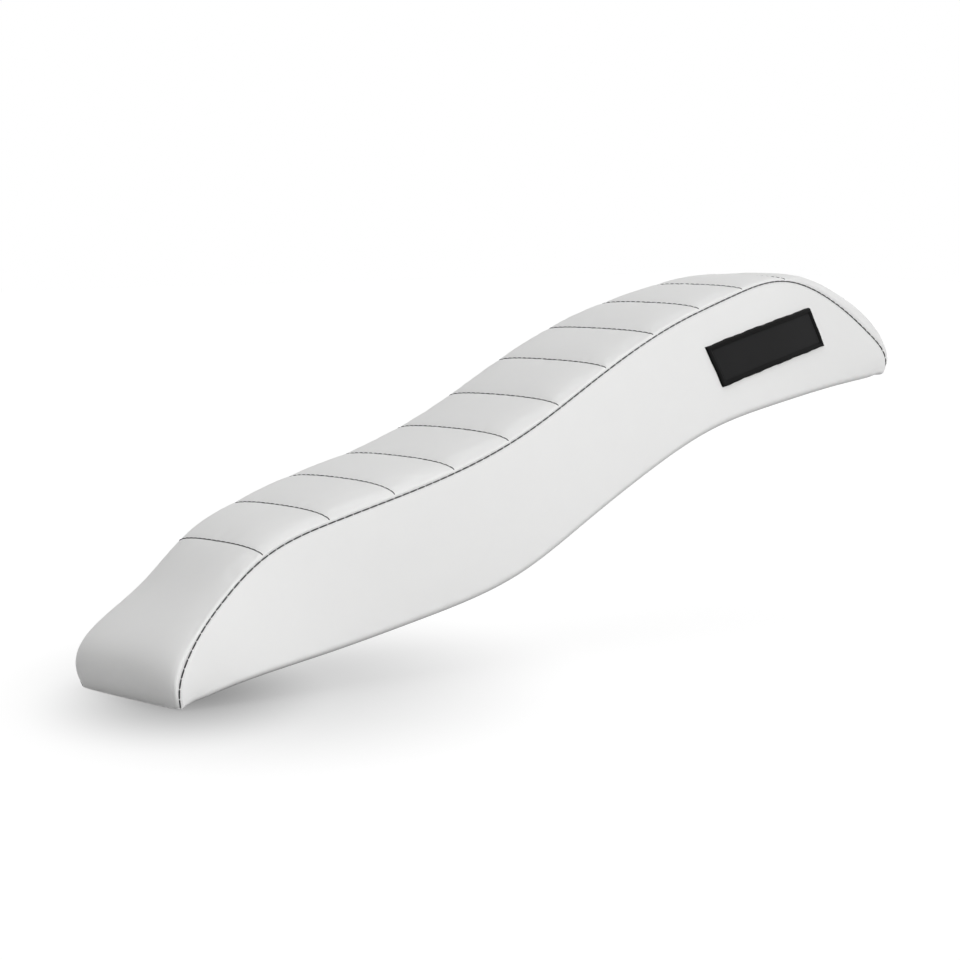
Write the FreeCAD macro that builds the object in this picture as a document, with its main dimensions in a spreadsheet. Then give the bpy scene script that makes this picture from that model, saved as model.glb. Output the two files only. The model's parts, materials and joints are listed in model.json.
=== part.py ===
"""Bench seat for a light motorbike: moulded base pan, foam core and a sewn, pleated cover.

The frame: +X runs to the tail, +Y to the rider's right, +Z up, and the origin lies midway between the
two rear threaded inserts, on their mounting face. Two curves drive the whole seat: the seam line, where
the top panel meets a side panel, and the hem line, where the side panel folds under the base pan. Each
cross-section of the seat lies in a plane through one point of either line.
"""
import math
import os

import FreeCAD
import Part
import Sketcher
from FreeCAD import Placement, Rotation, Vector

doc = FreeCAD.newDocument("bench_seat")
sheet = doc.addObject("Spreadsheet::Sheet", "Sizes")

# Driving sizes in millimetres and degrees.
SIZES = {
    # the cover
    "cover_thickness": 1.5,
    "foam_crown": 1.5,
    "puff_height": 2.1,
    "fold_crown": 3.0,
    "side_bulge": 1.5,
    "skirt_width": 14.0,
    "fold_length": 9.0,
    "fit_clearance": 0.2,
    # the full height of the padding over the seam line, on the nose, at each pleat seam and on the tail
    "padding_chin": 11.5,
    "padding_slope": 6.8,
    "padding_pleat_01": 9.9,
    "padding_pleat_02": 10.4,
    "padding_pleat_03": 11.2,
    "padding_pleat_04": 9.8,
    "padding_pleat_05": 9.4,
    "padding_pleat_06": 8.7,
    "padding_pleat_07": 7.6,
    "padding_pleat_08": 5.9,
    "padding_pleat_09": 7.1,
    "padding_pleat_10": 5.7,
    "padding_pleat_11": 5.3,
    "padding_fall": 11.1,
    "padding_tail": 13.8,
    "padding_heel": 15.0,
    # the pleat seams, measured along the seam line
    "pleat_first": 120.0,
    "pleat_pitch": 51.0,
    # the sewing thread
    "thread_size": 0.9,
    "seam_row_drop": 1.2,
    "seam_row_start": 20.0,
    "pleat_row_margin": 3.0,
    # the base pan
    "pan_height": 12.0,
    "pan_plate": 3.0,
    "pan_rim": 20.0,
    "rib_thickness": 2.5,
    "rib_pitch": 62.0,
    "rib_spread": 24.0,
    "rib_recess": 2.5,
    # the threaded inserts and their bosses
    "rear_bolt_place": 470.0,
    "rear_bolt_spacing": 76.0,
    "front_bolt_place": 150.0,
    "front_bolt_spacing": 48.0,
    "boss_radius": 8.0,
    "boss_lift": 2.5,
    "insert_radius": 4.0,
    "insert_bore_radius": 2.5,
    "insert_length": 7.0,
    # the rubber buffers and the flat pads they sit on
    "front_buffer_place": 216.0,
    "front_buffer_spacing": 64.0,
    "rear_buffer_place": 552.0,
    "rear_buffer_spacing": 52.0,
    "buffer_radius": 10.0,
    "buffer_height": 8.0,
    "buffer_edge": 1.5,
    "buffer_pad_radius": 11.0,
    "buffer_pad_lift": 5.5,
    # the patch on the left side panel, placed along the seam line and below it
    "patch_length": 125.3,
    "patch_width": 30.5,
    "patch_run": 599.4,
    "patch_drop": 44.5,
    "patch_turn": 1.9,
    "patch_lean": 12.2,
    "patch_thickness": 1.6,
    "patch_border": 3.0,
    "patch_border_rise": 0.9,
    # the staples that hold the skirts to the pan
    "staple_width": 10.0,
    "staple_wire": 0.9,
    "staple_inset": 8.0,
    "staple_pitch": 26.0,
}

# Named points of the two lines, from the nose foot: distance to the rear, half width, height.
SEAM_POINTS = {
    "seam_foot": (0.0, 54.0, 0.0),
    "seam_chin": (-1.5, 56.0, 16.0),
    "seam_face": (8.0, 54.0, 34.0),
    "seam_slope": (38.0, 45.5, 61.0),
    "seam_brow": (73.0, 46.0, 87.5),
    "seam_neck": (120.0, 54.0, 106.0),
    "seam_dip": (200.0, 60.0, 127.0),
    "seam_lift": (271.0, 59.0, 150.5),
    "seam_rise": (340.0, 57.0, 184.5),
    "seam_saddle": (414.0, 54.5, 218.5),
    "seam_crest": (481.0, 48.0, 238.0),
    "seam_peak": (547.0, 41.0, 248.5),
    "seam_fall": (610.0, 34.0, 230.5),
    "seam_tail": (651.0, 30.0, 207.5),
    "seam_heel": (673.5, 28.0, 180.5),
    "seam_end": (670.0, 28.0, 175.5),
}
HEM_POINTS = {
    "hem_foot": (0.0, 54.0, 0.0),
    "hem_chin": (37.0, 56.0, 11.0),
    "hem_neck": (110.0, 59.5, 25.0),
    "hem_dip": (184.0, 65.0, 40.5),
    "hem_lift": (263.0, 70.0, 63.0),
    "hem_rise": (319.0, 72.0, 92.0),
    "hem_saddle": (379.0, 72.0, 123.0),
    "hem_crest": (441.0, 71.5, 149.0),
    "hem_peak": (512.0, 66.0, 163.5),
    "hem_fall": (600.0, 49.0, 173.0),
    "hem_end": (670.0, 28.0, 175.5),
}
AXES = ("place", "half", "height")

PLEAT_SEAMS = 11
STEPS_PER_PLEAT = 4
NOSE_STEPS = 10
TAIL_STEPS = 11
PAN_STRIDE = 3
PAN_SHARE = 0.4
CROWN_POWER = 2.5
CROWN_STEPS = 10
PUFF_POWER = 0.6
DIP_POWER = 6
NOSE_PADDING = {"padding_chin": 0.20, "padding_slope": 0.43}
TAIL_PADDING = {"padding_fall": 0.25, "padding_tail": 0.47, "padding_heel": 0.70}
THREAD_STEPS = 31
RIB_SINK = 0.25
FREE_PITCHES = 4
TIP_SHARE = 1 / 3


def fill_sheet():
    """Write every driving size to the sheet, one alias a row, and return a reader of it."""
    rows = dict(SIZES)
    for points in (SEAM_POINTS, HEM_POINTS):
        for name, values in points.items():
            for axis, value in zip(AXES, values):
                rows[f"{name}_{axis}"] = value
    for row, (alias, value) in enumerate(rows.items(), start=1):
        sheet.set(f"A{row}", alias)
        sheet.set(f"B{row}", str(value))
        sheet.setAlias(f"B{row}", alias)
    doc.recompute()
    return lambda alias: float(sheet.get(alias))


size = fill_sheet()
COVER = size("cover_thickness")
GAP = size("fit_clearance")
THREAD_GAP = 2 * GAP
ROW_GAP = 1.5 * GAP
PAN_LEAST = 12 * COVER
SIDE_LEAST = 4 * COVER
FOAM_INSET = COVER + 2 * GAP


def line_through(points):
    """Return the smooth edge through the named points of one line."""
    curve = Part.BSplineCurve()
    curve.interpolate([Vector(*(size(f"{name}_{axis}") for axis in AXES)) for name in points])
    return curve.toShape()


seam_line = line_through(SEAM_POINTS)
hem_line = line_through(HEM_POINTS)


def at_share(edge, share):
    """Return the point and the direction of travel at a share of an edge's length."""
    parameter = edge.getParameterByLength(edge.Length * share)
    return edge.valueAt(parameter), edge.tangentAt(parameter)


def height_at(edge, place):
    """Return the height of an edge at a distance along X, where the edge never turns back."""
    low, high = 0.0, 1.0
    while high - low > 1e-9:
        middle = (low + high) / 2
        if at_share(edge, middle)[0].x < place:
            low = middle
        else:
            high = middle
    return at_share(edge, low)[0].z


class Station:
    """One cross-section plane of the seat, with heights measured up from the hem line."""

    def __init__(self, share):
        self.run = seam_line.Length * share
        top, travel = at_share(seam_line, share)
        low = at_share(hem_line, share)[0]
        self.seam = Vector(top.x, 0, top.z)
        self.low = Vector(low.x, 0, low.z)
        rise = self.seam - self.low
        self.height = rise.Length
        self.up = rise.normalize() if self.height > 0 else Vector(0, 0, 1)
        self.out = Vector(-travel.z, 0, travel.x).normalize()
        self.seam_half = top.y
        self.hem_half = low.y

    def half(self, height):
        """Return the half width of the cover's outer face at a height."""
        rise = height / self.height
        bulge = 4 * size("side_bulge") * rise * (1 - rise)
        return self.hem_half + (self.seam_half - self.hem_half) * rise + bulge

    def at(self, across, height):
        """Return the point of this plane at a place across the seat and a height."""
        return self.low + self.up * height + Vector(0, across, 0)

    def side(self, inset, bottom, top, hand):
        """Return three points up one side, set in from the cover's outer face."""
        heights = (bottom, (bottom + top) / 2, top)
        return [self.at(hand * (self.half(height) - inset), height) for height in heights]

    def crown(self, inset, rise, direction):
        """Return the points of a crowned curve from the left seam to the right."""
        half = self.seam_half - inset
        points = []
        for step in range(CROWN_STEPS + 1):
            across = math.sin(math.pi * (step / CROWN_STEPS - 0.5))
            lift = rise * max(0.0, 1 - abs(across) ** CROWN_POWER) ** (1 / CROWN_POWER)
            points.append(self.seam + direction * lift + Vector(0, across * half, 0))
        return points

    def pan_top(self):
        """Return the height of the pan here; it thins out smoothly where the seat does."""
        return size("pan_height") * math.tanh(PAN_SHARE * self.height / size("pan_height"))


def curve_edge(points):
    """Return a smooth edge through points."""
    curve = Part.BSplineCurve()
    curve.interpolate(points)
    return curve.toShape()


def loop(*runs):
    """Return a closed wire from runs of points: two make a line, more make a curve."""
    edges = []
    for run, following in zip(runs, runs[1:] + runs[:1]):
        edges.append(Part.makeLine(*run) if len(run) == 2 else curve_edge(run))
        if run[-1].distanceToPoint(following[0]) > 1e-6:
            edges.append(Part.makeLine(run[-1], following[0]))
    return Part.Wire(edges)


def loft(wires):
    """Return the smooth solid through closed wires."""
    return Part.makeLoft(wires, True, False)


def pleat_places():
    """Return how far along the seam line each pleat seam lies."""
    return [size("pleat_first") + step * size("pleat_pitch") for step in range(PLEAT_SEAMS)]


def stations_between(start, end, steps):
    """Return evenly spread stations between two places along the seam line."""
    places = [start + (end - start) * step / steps for step in range(steps + 1)]
    return [Station(place / seam_line.Length) for place in places]


def span_stations():
    """Return the stations of each span of the top panel: nose, pleats and tail."""
    pleats = pleat_places()
    spans = [stations_between(0, pleats[0], NOSE_STEPS)]
    for start, end in zip(pleats, pleats[1:]):
        spans.append(stations_between(start, end, STEPS_PER_PLEAT))
    spans.append(stations_between(pleats[-1], seam_line.Length, TAIL_STEPS))
    return spans


SPANS = span_stations()
TIP = TIP_SHARE * pleat_places()[0] / NOSE_STEPS
BODY = [station for span in SPANS for station in span[:-1]][1:]
BODY = [Station(TIP / seam_line.Length)] + BODY + [Station(1 - TIP / seam_line.Length)]


def tall_stations(least_height, stride=1):
    """Return the stations whose cross-section is at least so tall, or the first, last and every few."""
    tall = [station for station in BODY if station.height >= least_height]
    return tall[:-1:stride] + tall[-1:]


def draw_padding():
    """Return the line of the padding's full height over the distance along the seam line."""
    pleats = pleat_places()
    rear = seam_line.Length - pleats[-1]
    heights = [(0, "fold_crown")]
    heights += [(share * pleats[0], alias) for alias, share in NOSE_PADDING.items()]
    heights += [(place, f"padding_pleat_{number:02d}") for number, place in enumerate(pleats, start=1)]
    heights += [(pleats[-1] + share * rear, alias) for alias, share in TAIL_PADDING.items()]
    heights.append((seam_line.Length, "fold_crown"))
    curve = Part.BSplineCurve()
    curve.interpolate([Vector(place, 0, size(alias)) for place, alias in heights])
    return curve.toShape()


padding_line = draw_padding()


def puff(station, index, share):
    """Return the crown of the top panel at a share of a span: full, but drawn in at the pleat seams."""
    if index == 0:
        empty = share ** DIP_POWER
    elif index == len(SPANS) - 1:
        empty = (1 - share) ** DIP_POWER
    else:
        empty = 1 - math.sin(math.pi * share) ** PUFF_POWER
    return height_at(padding_line, station.run) - size("puff_height") * empty


def fold_under(corner, inner, half):
    """Return the end of the top panel that is folded under the pan, from its corner inwards."""
    lap = Vector(corner.x - inner.x, 0, 0).normalize() * size("fold_crown")
    lift = Vector(0, 0, COVER - GAP)
    outline = [corner + lap, corner, inner]
    outline += [point + lift for point in reversed(outline)]
    shift = Vector(0, half, 0)
    face = Part.Face(Part.makePolygon([point - shift for point in outline + outline[:1]]))
    return face.extrude(shift * 2)


def top_panel():
    """Return the pleated strip from nose to tail, with its ends folded under the pan."""
    solids = []
    for index, span in enumerate(SPANS):
        wires = []
        for step, station in enumerate(span):
            outer = station.crown(0, puff(station, index, step / (len(span) - 1)), station.out)
            inner = station.crown(COVER, size("foam_crown"), station.out)
            wires.append(loop(outer, inner[::-1]))
        solids.append(loft(wires))
    fold_share = size("fold_length") / hem_line.Length
    for end, inside in ((0.0, fold_share), (1.0, 1 - fold_share)):
        corner = at_share(hem_line, end)[0]
        inner = at_share(hem_line, inside)[0]
        half = corner.y - size("skirt_width") - COVER
        solids.append(fold_under(Vector(corner.x, 0, corner.z), Vector(inner.x, 0, inner.z), half))
    return solids[0].fuse(solids[1:]).removeSplitter()


def side_panel(hand):
    """Return one side panel: the flared wall, and the skirt folded under the pan."""
    wires = []
    for station in tall_stations(SIDE_LEAST):
        wall_top = station.height - GAP
        outer = station.side(0, 0, wall_top, hand)
        inner = station.side(COVER, COVER, wall_top, hand)
        skirt = hand * (station.hem_half - size("skirt_width"))
        wires.append(loop(outer[::-1], [outer[0], station.at(skirt, 0)],
                          [station.at(skirt, COVER), inner[0]], inner))
    return loft(wires)


def foam_core():
    """Return the foam between the pan and the cover, crowned under the top panel."""
    rise = size("foam_crown") - GAP
    inset = FOAM_INSET
    wires = []
    for station in tall_stations(PAN_LEAST):
        bottom = station.pan_top() + GAP
        left = station.side(inset, bottom, station.height, -1)
        right = station.side(inset, bottom, station.height, 1)
        wires.append(loop(left, station.crown(inset, rise, station.up), right[::-1], [right[0], left[0]]))
    return loft(wires)


def pan_layer(inset, bottom, below_top, least_height):
    """Return a slab that follows the hem line, set in from the sides and from the pan's top."""
    wires = []
    for station in tall_stations(least_height, PAN_STRIDE):
        top = station.pan_top() - below_top
        low_half = station.half(max(bottom, 0)) - inset
        high_half = station.half(top) - inset
        corners = [station.at(-low_half, bottom), station.at(-high_half, top),
                   station.at(high_half, top), station.at(low_half, bottom)]
        wires.append(Part.makePolygon(corners + corners[:1]))
    return loft(wires)


def pairs(name):
    """Return the two places of a pair of fittings under the pan, left and right."""
    place = size(f"{name}_place")
    across = size(f"{name}_spacing") / 2
    return [("left", place, -across), ("right", place, across)]


def base_pan():
    """Return the moulded pan: a plate with a deep rim, ribs, insert bosses and buffer pads below."""
    plate = size("pan_plate")
    rim = size("pan_rim")
    reach = size("pan_height")
    overlap = RIB_SINK * plate
    hollow_height = reach / PAN_SHARE
    slab = pan_layer(COVER + GAP, COVER + GAP, 0, PAN_LEAST)
    hollow = pan_layer(rim, -reach, plate, hollow_height)
    rib_zone = pan_layer(rim - overlap, size("rib_recess"), plate - overlap, hollow_height)
    boss_zone = pan_layer(rim - overlap, -reach, plate - overlap, hollow_height)

    box = hollow.BoundBox
    rib = size("rib_thickness")
    ribs = []
    for hand in (-1, 1):
        corner = Vector(box.XMin, hand * size("rib_spread") / 2 - rib / 2, box.ZMin)
        ribs.append(Part.makeBox(box.XLength, rib, box.ZLength, corner))
    count = int(box.XLength // size("rib_pitch"))
    for step in range(1, count + 1):
        place = box.XMin + step * box.XLength / (count + 1)
        ribs.append(Part.makeBox(rib, box.YLength, box.ZLength, Vector(place - rib / 2, box.YMin, box.ZMin)))

    bosses = []
    holes = []
    for name, radius, lift in FITTINGS:
        for _, place, across in pairs(name):
            foot = Vector(place, across, height_at(hem_line, place) + lift)
            bosses.append(Part.makeCylinder(radius, box.ZLength, foot))
            holes.append(Part.makeCylinder(radius + GAP, box.ZLength, foot, Vector(0, 0, -1)))
            if name in BOLTS:
                holes.append(Part.makeCylinder(size("insert_radius"), size("insert_length"), foot))
    lattice = ribs[0].fuse(ribs[1:]).common(rib_zone)
    pillars = Part.makeCompound(bosses).common(boss_zone)
    return slab.cut(hollow).fuse([lattice, pillars]).cut(holes).removeSplitter()


BOLTS = ("front_bolt", "rear_bolt")
BUFFERS = ("front_buffer", "rear_buffer")
FITTINGS = [(name, size("boss_radius"), size("boss_lift")) for name in BOLTS]
FITTINGS += [(name, size("buffer_pad_radius"), size("buffer_pad_lift")) for name in BUFFERS]


def side_shell(stations, hand, inner, outer, bottom, top):
    """Return a strip that lies on one side panel, between two offsets from its outer face."""
    wires = []
    for station in stations:
        near = station.side(-inner, bottom(station), top(station), hand)
        far = station.side(-outer, bottom(station), top(station), hand)
        wires.append(loop(near, far[::-1]))
    return loft(wires)


def seam_thread(hand):
    """Return the row of thread along one side panel, just below its seam."""
    drop = size("seam_row_drop")
    thread = size("thread_size")
    return side_shell(tall_stations(size("seam_row_start")), hand, THREAD_GAP, THREAD_GAP + thread,
                      lambda station: station.height - drop - thread,
                      lambda station: station.height - drop)


def pleat_thread(station):
    """Return the row of thread across the top panel in one pleat groove."""
    thread = size("thread_size")
    reach = station.seam_half - size("pleat_row_margin")
    travel = Vector(station.out.z, 0, -station.out.x)
    groove = curve_edge(station.crown(0, puff(station, 1, 0), station.out))
    seat = station.out * ROW_GAP - travel * (thread / 2)
    lower = [point + seat for point in groove.discretize(Number=THREAD_STEPS) if abs(point.y) < reach]
    upper = [point + station.out * thread for point in lower]
    return Part.Face(loop(lower, upper[::-1])).extrude(travel * thread)


def patch_prism(margin):
    """Return the patch's outline seen from the side, drawn in by a margin, as a long prism to the left."""
    middle = Station(size("patch_run") / seam_line.Length)
    travel = Vector(middle.out.z, 0, -middle.out.x)
    turn = math.radians(size("patch_turn"))
    lean = math.radians(size("patch_lean"))
    along = (travel * math.cos(turn) + middle.out * math.sin(turn)) * (size("patch_length") / 2 - margin)
    down = (travel * math.sin(lean) - middle.out * math.cos(lean)) * (size("patch_width") / 2 - margin)
    centre = middle.at(0, middle.height - size("patch_drop"))
    corners = [centre - along - down, centre + along - down, centre + along + down, centre - along + down]
    reach = Vector(0, -2 * max(station.hem_half for station in BODY), 0)
    return Part.Face(Part.makePolygon(corners + corners[:1])).extrude(reach)


def side_patch():
    """Return the bare patch on the left side panel, with a raised border."""
    thickness = size("patch_thickness")
    outline = patch_prism(0)
    middle = Station(size("patch_run") / seam_line.Length)
    near = [station for station in tall_stations(size("patch_width"))
            if abs(station.low.x - middle.low.x) < size("patch_length")]

    def skin(outer):
        return side_shell(near, -1, GAP / 2, outer, lambda _: 0, lambda station: station.height)

    field = skin(GAP / 2 + thickness).common(outline)
    border = skin(GAP / 2 + thickness + size("patch_border_rise")).common(outline)
    return field.fuse(border.cut(patch_prism(size("patch_border")))).removeSplitter()


def cover_staples():
    """Return the staple crowns that hold both skirts to the pan's rim."""
    wire = size("staple_wire")
    width = size("staple_width")
    usable = hem_line.Length - FREE_PITCHES * size("staple_pitch")
    count = int(usable // size("staple_pitch"))
    staples = []
    for step in range(count + 1):
        share = (2 * size("staple_pitch") + usable * step / count) / hem_line.Length
        point, travel = at_share(hem_line, share)
        slope = Rotation(Vector(0, 1, 0), -math.degrees(math.atan2(travel.z, travel.x)))
        for hand in (-1, 1):
            crown = Part.makeBox(width, wire, wire, Vector(-width / 2, -wire / 2, -wire - GAP))
            across = hand * (point.y - size("staple_inset"))
            crown.Placement = Placement(Vector(point.x, across, point.z), slope)
            staples.append(crown)
    return Part.makeCompound(staples)


FRAME = Vector(size("rear_bolt_place"), 0, height_at(hem_line, size("rear_bolt_place")) + size("boss_lift"))
nodes = []


def add_shape(label, shape):
    """Add a sub-part made with the functions above, moved into the part's frame."""
    feature = doc.addObject("Part::Feature", label)
    feature.Label = label
    feature.Shape = shape
    feature.Placement = Placement(-FRAME, Rotation())
    nodes.append(feature)


def add_round_body(label, foot, radii, length):
    """Add a body padded from circles whose radii, and length, are cells of the sheet."""
    body = doc.addObject("PartDesign::Body", label)
    body.Label = label
    sketch = body.newObject("Sketcher::SketchObject", f"{label}_sketch")
    plane = next(item for item in body.Origin.OriginFeatures if item.Role == "XY_Plane")
    sketch.AttachmentSupport = [(plane, "")]
    sketch.MapMode = "FlatFace"
    for index, alias in enumerate(radii):
        sketch.addGeometry(Part.Circle(Vector(), Vector(0, 0, 1), size(alias)))
        sketch.addConstraint(Sketcher.Constraint("Coincident", index, 3, -1, 1))
        constraint = sketch.addConstraint(Sketcher.Constraint("Radius", index, size(alias)))
        sketch.setExpression(f"Constraints[{constraint}]", f"Sizes.{alias}")
    pad = body.newObject("PartDesign::Pad", f"{label}_pad")
    pad.Profile = sketch
    pad.setExpression("Length", f"Sizes.{length}")
    body.Placement = Placement(foot - FRAME, Rotation())
    doc.recompute()
    nodes.append(body)
    return body, pad


def round_edges(body, pad, alias):
    """Round the two rims of a padded disc by a radius of the sheet."""
    rims = [f"Edge{index}" for index, edge in enumerate(pad.Shape.Edges, start=1)
            if isinstance(edge.Curve, Part.Circle)]
    fillet = body.newObject("PartDesign::Fillet", f"{body.Label}_fillet")
    fillet.Base = (pad, rims)
    fillet.setExpression("Radius", f"Sizes.{alias}")
    body.Tip = fillet


def build():
    """Add every sub-part to the document."""
    add_shape("base_pan", base_pan())
    add_shape("foam_core", foam_core())
    add_shape("top_panel", top_panel())
    for side, hand in (("left", -1), ("right", 1)):
        add_shape(f"{side}_side_panel", side_panel(hand))
        add_shape(f"{side}_seam_thread", seam_thread(hand))
    for number, span in enumerate(SPANS[1:], start=1):
        add_shape(f"pleat_thread_{number:02d}", pleat_thread(span[0]))
    add_shape("side_patch", side_patch())
    add_shape("cover_staples", cover_staples())
    for name in BOLTS:
        for side, place, across in pairs(name):
            foot = Vector(place, across, height_at(hem_line, place) + size("boss_lift"))
            label = f"{name.split('_')[0]}_insert_{side}"
            add_round_body(label, foot, ("insert_radius", "insert_bore_radius"), "insert_length")
    for name in BUFFERS:
        for side, place, across in pairs(name):
            drop = size("buffer_pad_lift") - size("buffer_height")
            foot = Vector(place, across, height_at(hem_line, place) + drop)
            body, pad = add_round_body(f"{name}_{side}", foot, ("buffer_radius",), "buffer_height")
            round_edges(body, pad, "buffer_edge")
    doc.recompute()


def export():
    """Check every object, then write each sub-part to its own file."""
    for item in doc.Objects:
        if {"Invalid", "Error"} & set(item.State):
            raise RuntimeError(f"{item.Label} failed: {item.State}")
    for node in nodes:
        if node.Shape.isNull() or not node.Shape.isValid():
            raise RuntimeError(f"{node.Label} has no valid shape")
    os.makedirs("parts", exist_ok=True)
    for node in nodes:
        node.Shape.exportStep(f"parts/{node.Label}.step")
        print(node.Label, len(node.Shape.Solids), round(node.Shape.Volume, 1))


build()
export()
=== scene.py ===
"""Bench seat for a light motorbike, shown as in its photograph.

The sewn cover, its threads, the staples and the bare side patch are built here as numpy surfaces around
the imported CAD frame. The moulded pan, the foam core, the inserts and the buffers stay CAD nodes and get
finer materials. Two lines drive the cover: the seam line, where the top panel meets a side panel, and the
hem line, where a side panel folds under the pan. All lengths are in metres, and the lines are measured
from the foot of the nose: +X to the tail, +Y to the rider's right, +Z up.
"""

from __future__ import annotations

import json
import logging
import math
from dataclasses import dataclass, field
from enum import Enum
from functools import cache

import bpy
import numpy as np
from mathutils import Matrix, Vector

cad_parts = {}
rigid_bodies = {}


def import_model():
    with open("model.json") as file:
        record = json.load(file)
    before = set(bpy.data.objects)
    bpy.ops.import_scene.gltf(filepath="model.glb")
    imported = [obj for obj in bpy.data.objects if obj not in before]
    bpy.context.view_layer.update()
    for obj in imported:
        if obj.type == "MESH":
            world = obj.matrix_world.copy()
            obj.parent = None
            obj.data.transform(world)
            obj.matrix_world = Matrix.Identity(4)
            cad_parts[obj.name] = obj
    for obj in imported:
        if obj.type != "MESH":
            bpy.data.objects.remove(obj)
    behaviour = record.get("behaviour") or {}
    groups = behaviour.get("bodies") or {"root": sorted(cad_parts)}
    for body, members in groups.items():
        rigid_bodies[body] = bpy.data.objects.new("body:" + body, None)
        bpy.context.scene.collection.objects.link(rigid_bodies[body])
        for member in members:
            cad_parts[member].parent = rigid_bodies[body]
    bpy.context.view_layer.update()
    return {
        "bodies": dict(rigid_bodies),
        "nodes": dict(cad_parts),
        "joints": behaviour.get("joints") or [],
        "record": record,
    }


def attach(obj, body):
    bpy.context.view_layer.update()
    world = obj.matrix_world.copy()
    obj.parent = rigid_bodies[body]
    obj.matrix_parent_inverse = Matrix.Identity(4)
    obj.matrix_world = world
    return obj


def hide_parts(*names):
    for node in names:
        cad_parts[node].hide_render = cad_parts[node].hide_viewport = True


logger = logging.getLogger("bench_seat")

Array = np.ndarray
Point = tuple[float, float, float]
Colour = tuple[float, float, float]
Node = bpy.types.Node
NodeTree = bpy.types.NodeTree
Socket = bpy.types.NodeSocket
Material = bpy.types.Material
Piece = bpy.types.Object

BODY = "root"
FLAT = np.array([1.0, 0.0, 1.0])
ACROSS = np.array([0.0, 1.0, 0.0])
WHITE = (1.0, 1.0, 1.0, 1.0)

# Points of the two lines: distance back from the nose, half width and height.
SEAM_POINTS: dict[str, Point] = {
    "foot": (0.0, 0.054, 0.0),
    "chin": (-0.0015, 0.056, 0.016),
    "face": (0.008, 0.054, 0.034),
    "slope": (0.038, 0.0455, 0.061),
    "brow": (0.073, 0.046, 0.0875),
    "neck": (0.120, 0.054, 0.106),
    "dip": (0.200, 0.060, 0.127),
    "lift": (0.271, 0.059, 0.1505),
    "rise": (0.340, 0.057, 0.1845),
    "saddle": (0.414, 0.0545, 0.2185),
    "crest": (0.481, 0.048, 0.238),
    "peak": (0.547, 0.041, 0.2485),
    "fall": (0.610, 0.034, 0.2305),
    "tail": (0.651, 0.030, 0.2075),
    "heel": (0.6735, 0.028, 0.1805),
    "end": (0.670, 0.028, 0.1755),
}
HEM_POINTS: dict[str, Point] = {
    "foot": (0.0, 0.054, 0.0),
    "chin": (0.037, 0.056, 0.011),
    "neck": (0.110, 0.0595, 0.025),
    "dip": (0.184, 0.065, 0.0405),
    "lift": (0.263, 0.070, 0.063),
    "rise": (0.319, 0.072, 0.092),
    "saddle": (0.379, 0.072, 0.123),
    "crest": (0.441, 0.0715, 0.149),
    "peak": (0.512, 0.066, 0.1635),
    "fall": (0.600, 0.049, 0.173),
    "end": (0.670, 0.028, 0.1755),
}
# Full height of the padding over the seam line's plane: distance along the seam line, nothing, height.
# The first and the last are the ends' own heights.
PADDING_POINTS: dict[str, Point] = {
    "fold": (0.0, 0.0, 0.0015),
    "lip": (0.0115, 0.0, 0.0052),
    "chin": (0.0205, 0.0, 0.0080),
    "brow": (0.029, 0.0, 0.0082),
    "dip": (0.039, 0.0, 0.0067),
    "slope": (0.0516, 0.0, 0.0051),
    "pleat_01": (0.120, 0.0, 0.0092),
    "pleat_02": (0.171, 0.0, 0.0099),
    "pleat_03": (0.222, 0.0, 0.0112),
    "pleat_04": (0.273, 0.0, 0.0098),
    "pleat_05": (0.324, 0.0, 0.0094),
    "pleat_06": (0.375, 0.0, 0.0087),
    "pleat_07": (0.426, 0.0, 0.0076),
    "pleat_08": (0.477, 0.0, 0.0059),
    "pleat_09": (0.528, 0.0, 0.0071),
    "pleat_10": (0.579, 0.0, 0.0057),
    "pleat_11": (0.630, 0.0, 0.0053),
    "fall": (0.6677, 0.0, 0.0111),
    "tail": (0.7009, 0.0, 0.0138),
    "heel": (0.7356, 0.0, 0.0166),
    "end": (0.7809, 0.0, 0.0030),
}


class Hand(Enum):
    """The rider's left or right side of the seat."""

    LEFT = -1
    RIGHT = 1

    @property
    def word(self) -> str:
        """Return the side's name as the CAD nodes spell it."""
        return self.name.lower()


class Slot(str, Enum):
    """The record's material slots."""

    PAN = "pan_plastic"
    FOAM = "seat_foam"
    VINYL = "cover_vinyl"
    THREAD = "sewing_thread"
    PATCH = "patch_rubber"
    STAPLE = "staple_steel"
    INSERT = "insert_brass"
    BUFFER = "buffer_rubber"


def unit(vectors: Array) -> Array:
    """Return vectors scaled to length one.

    Args:
        vectors: Array whose last axis holds the components.

    Returns:
        Array of the same shape.
    """
    return vectors / np.linalg.norm(vectors, axis=-1, keepdims=True)


def grid_normals(points: Array) -> Array:
    """Return the unit normals of a grid of points, as the cross product of its two directions of travel.

    Args:
        points: Array of rows x columns x 3.

    Returns:
        Array of the same shape.
    """
    return unit(np.cross(np.gradient(points, axis=0), np.gradient(points, axis=1)))


def ease(value: Array, start: float, stop: float) -> Array:
    """Return a smooth step, t t (3 - 2 t), from 0 at start to 1 at stop.

    Args:
        value: Where the step is read.
        start: Value at which the step leaves 0.
        stop: Value at which the step reaches 1.

    Returns:
        Array of the same shape as value.
    """
    share = np.clip((value - start) / (stop - start), 0.0, 1.0)
    return share * share * (3.0 - 2.0 * share)


def bell(distance: Array, reach: float) -> Array:
    """Return a bell of a distance, exp(-(d / reach)^2)."""
    return np.exp(-((distance / reach) ** 2))


def bunched(count: int) -> Array:
    """Return places from -1 to 1 that lie closest together at both ends, sin(pi u) for u from -1/2 to 1/2."""
    return np.sin(np.linspace(-0.5, 0.5, count) * math.pi)


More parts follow.
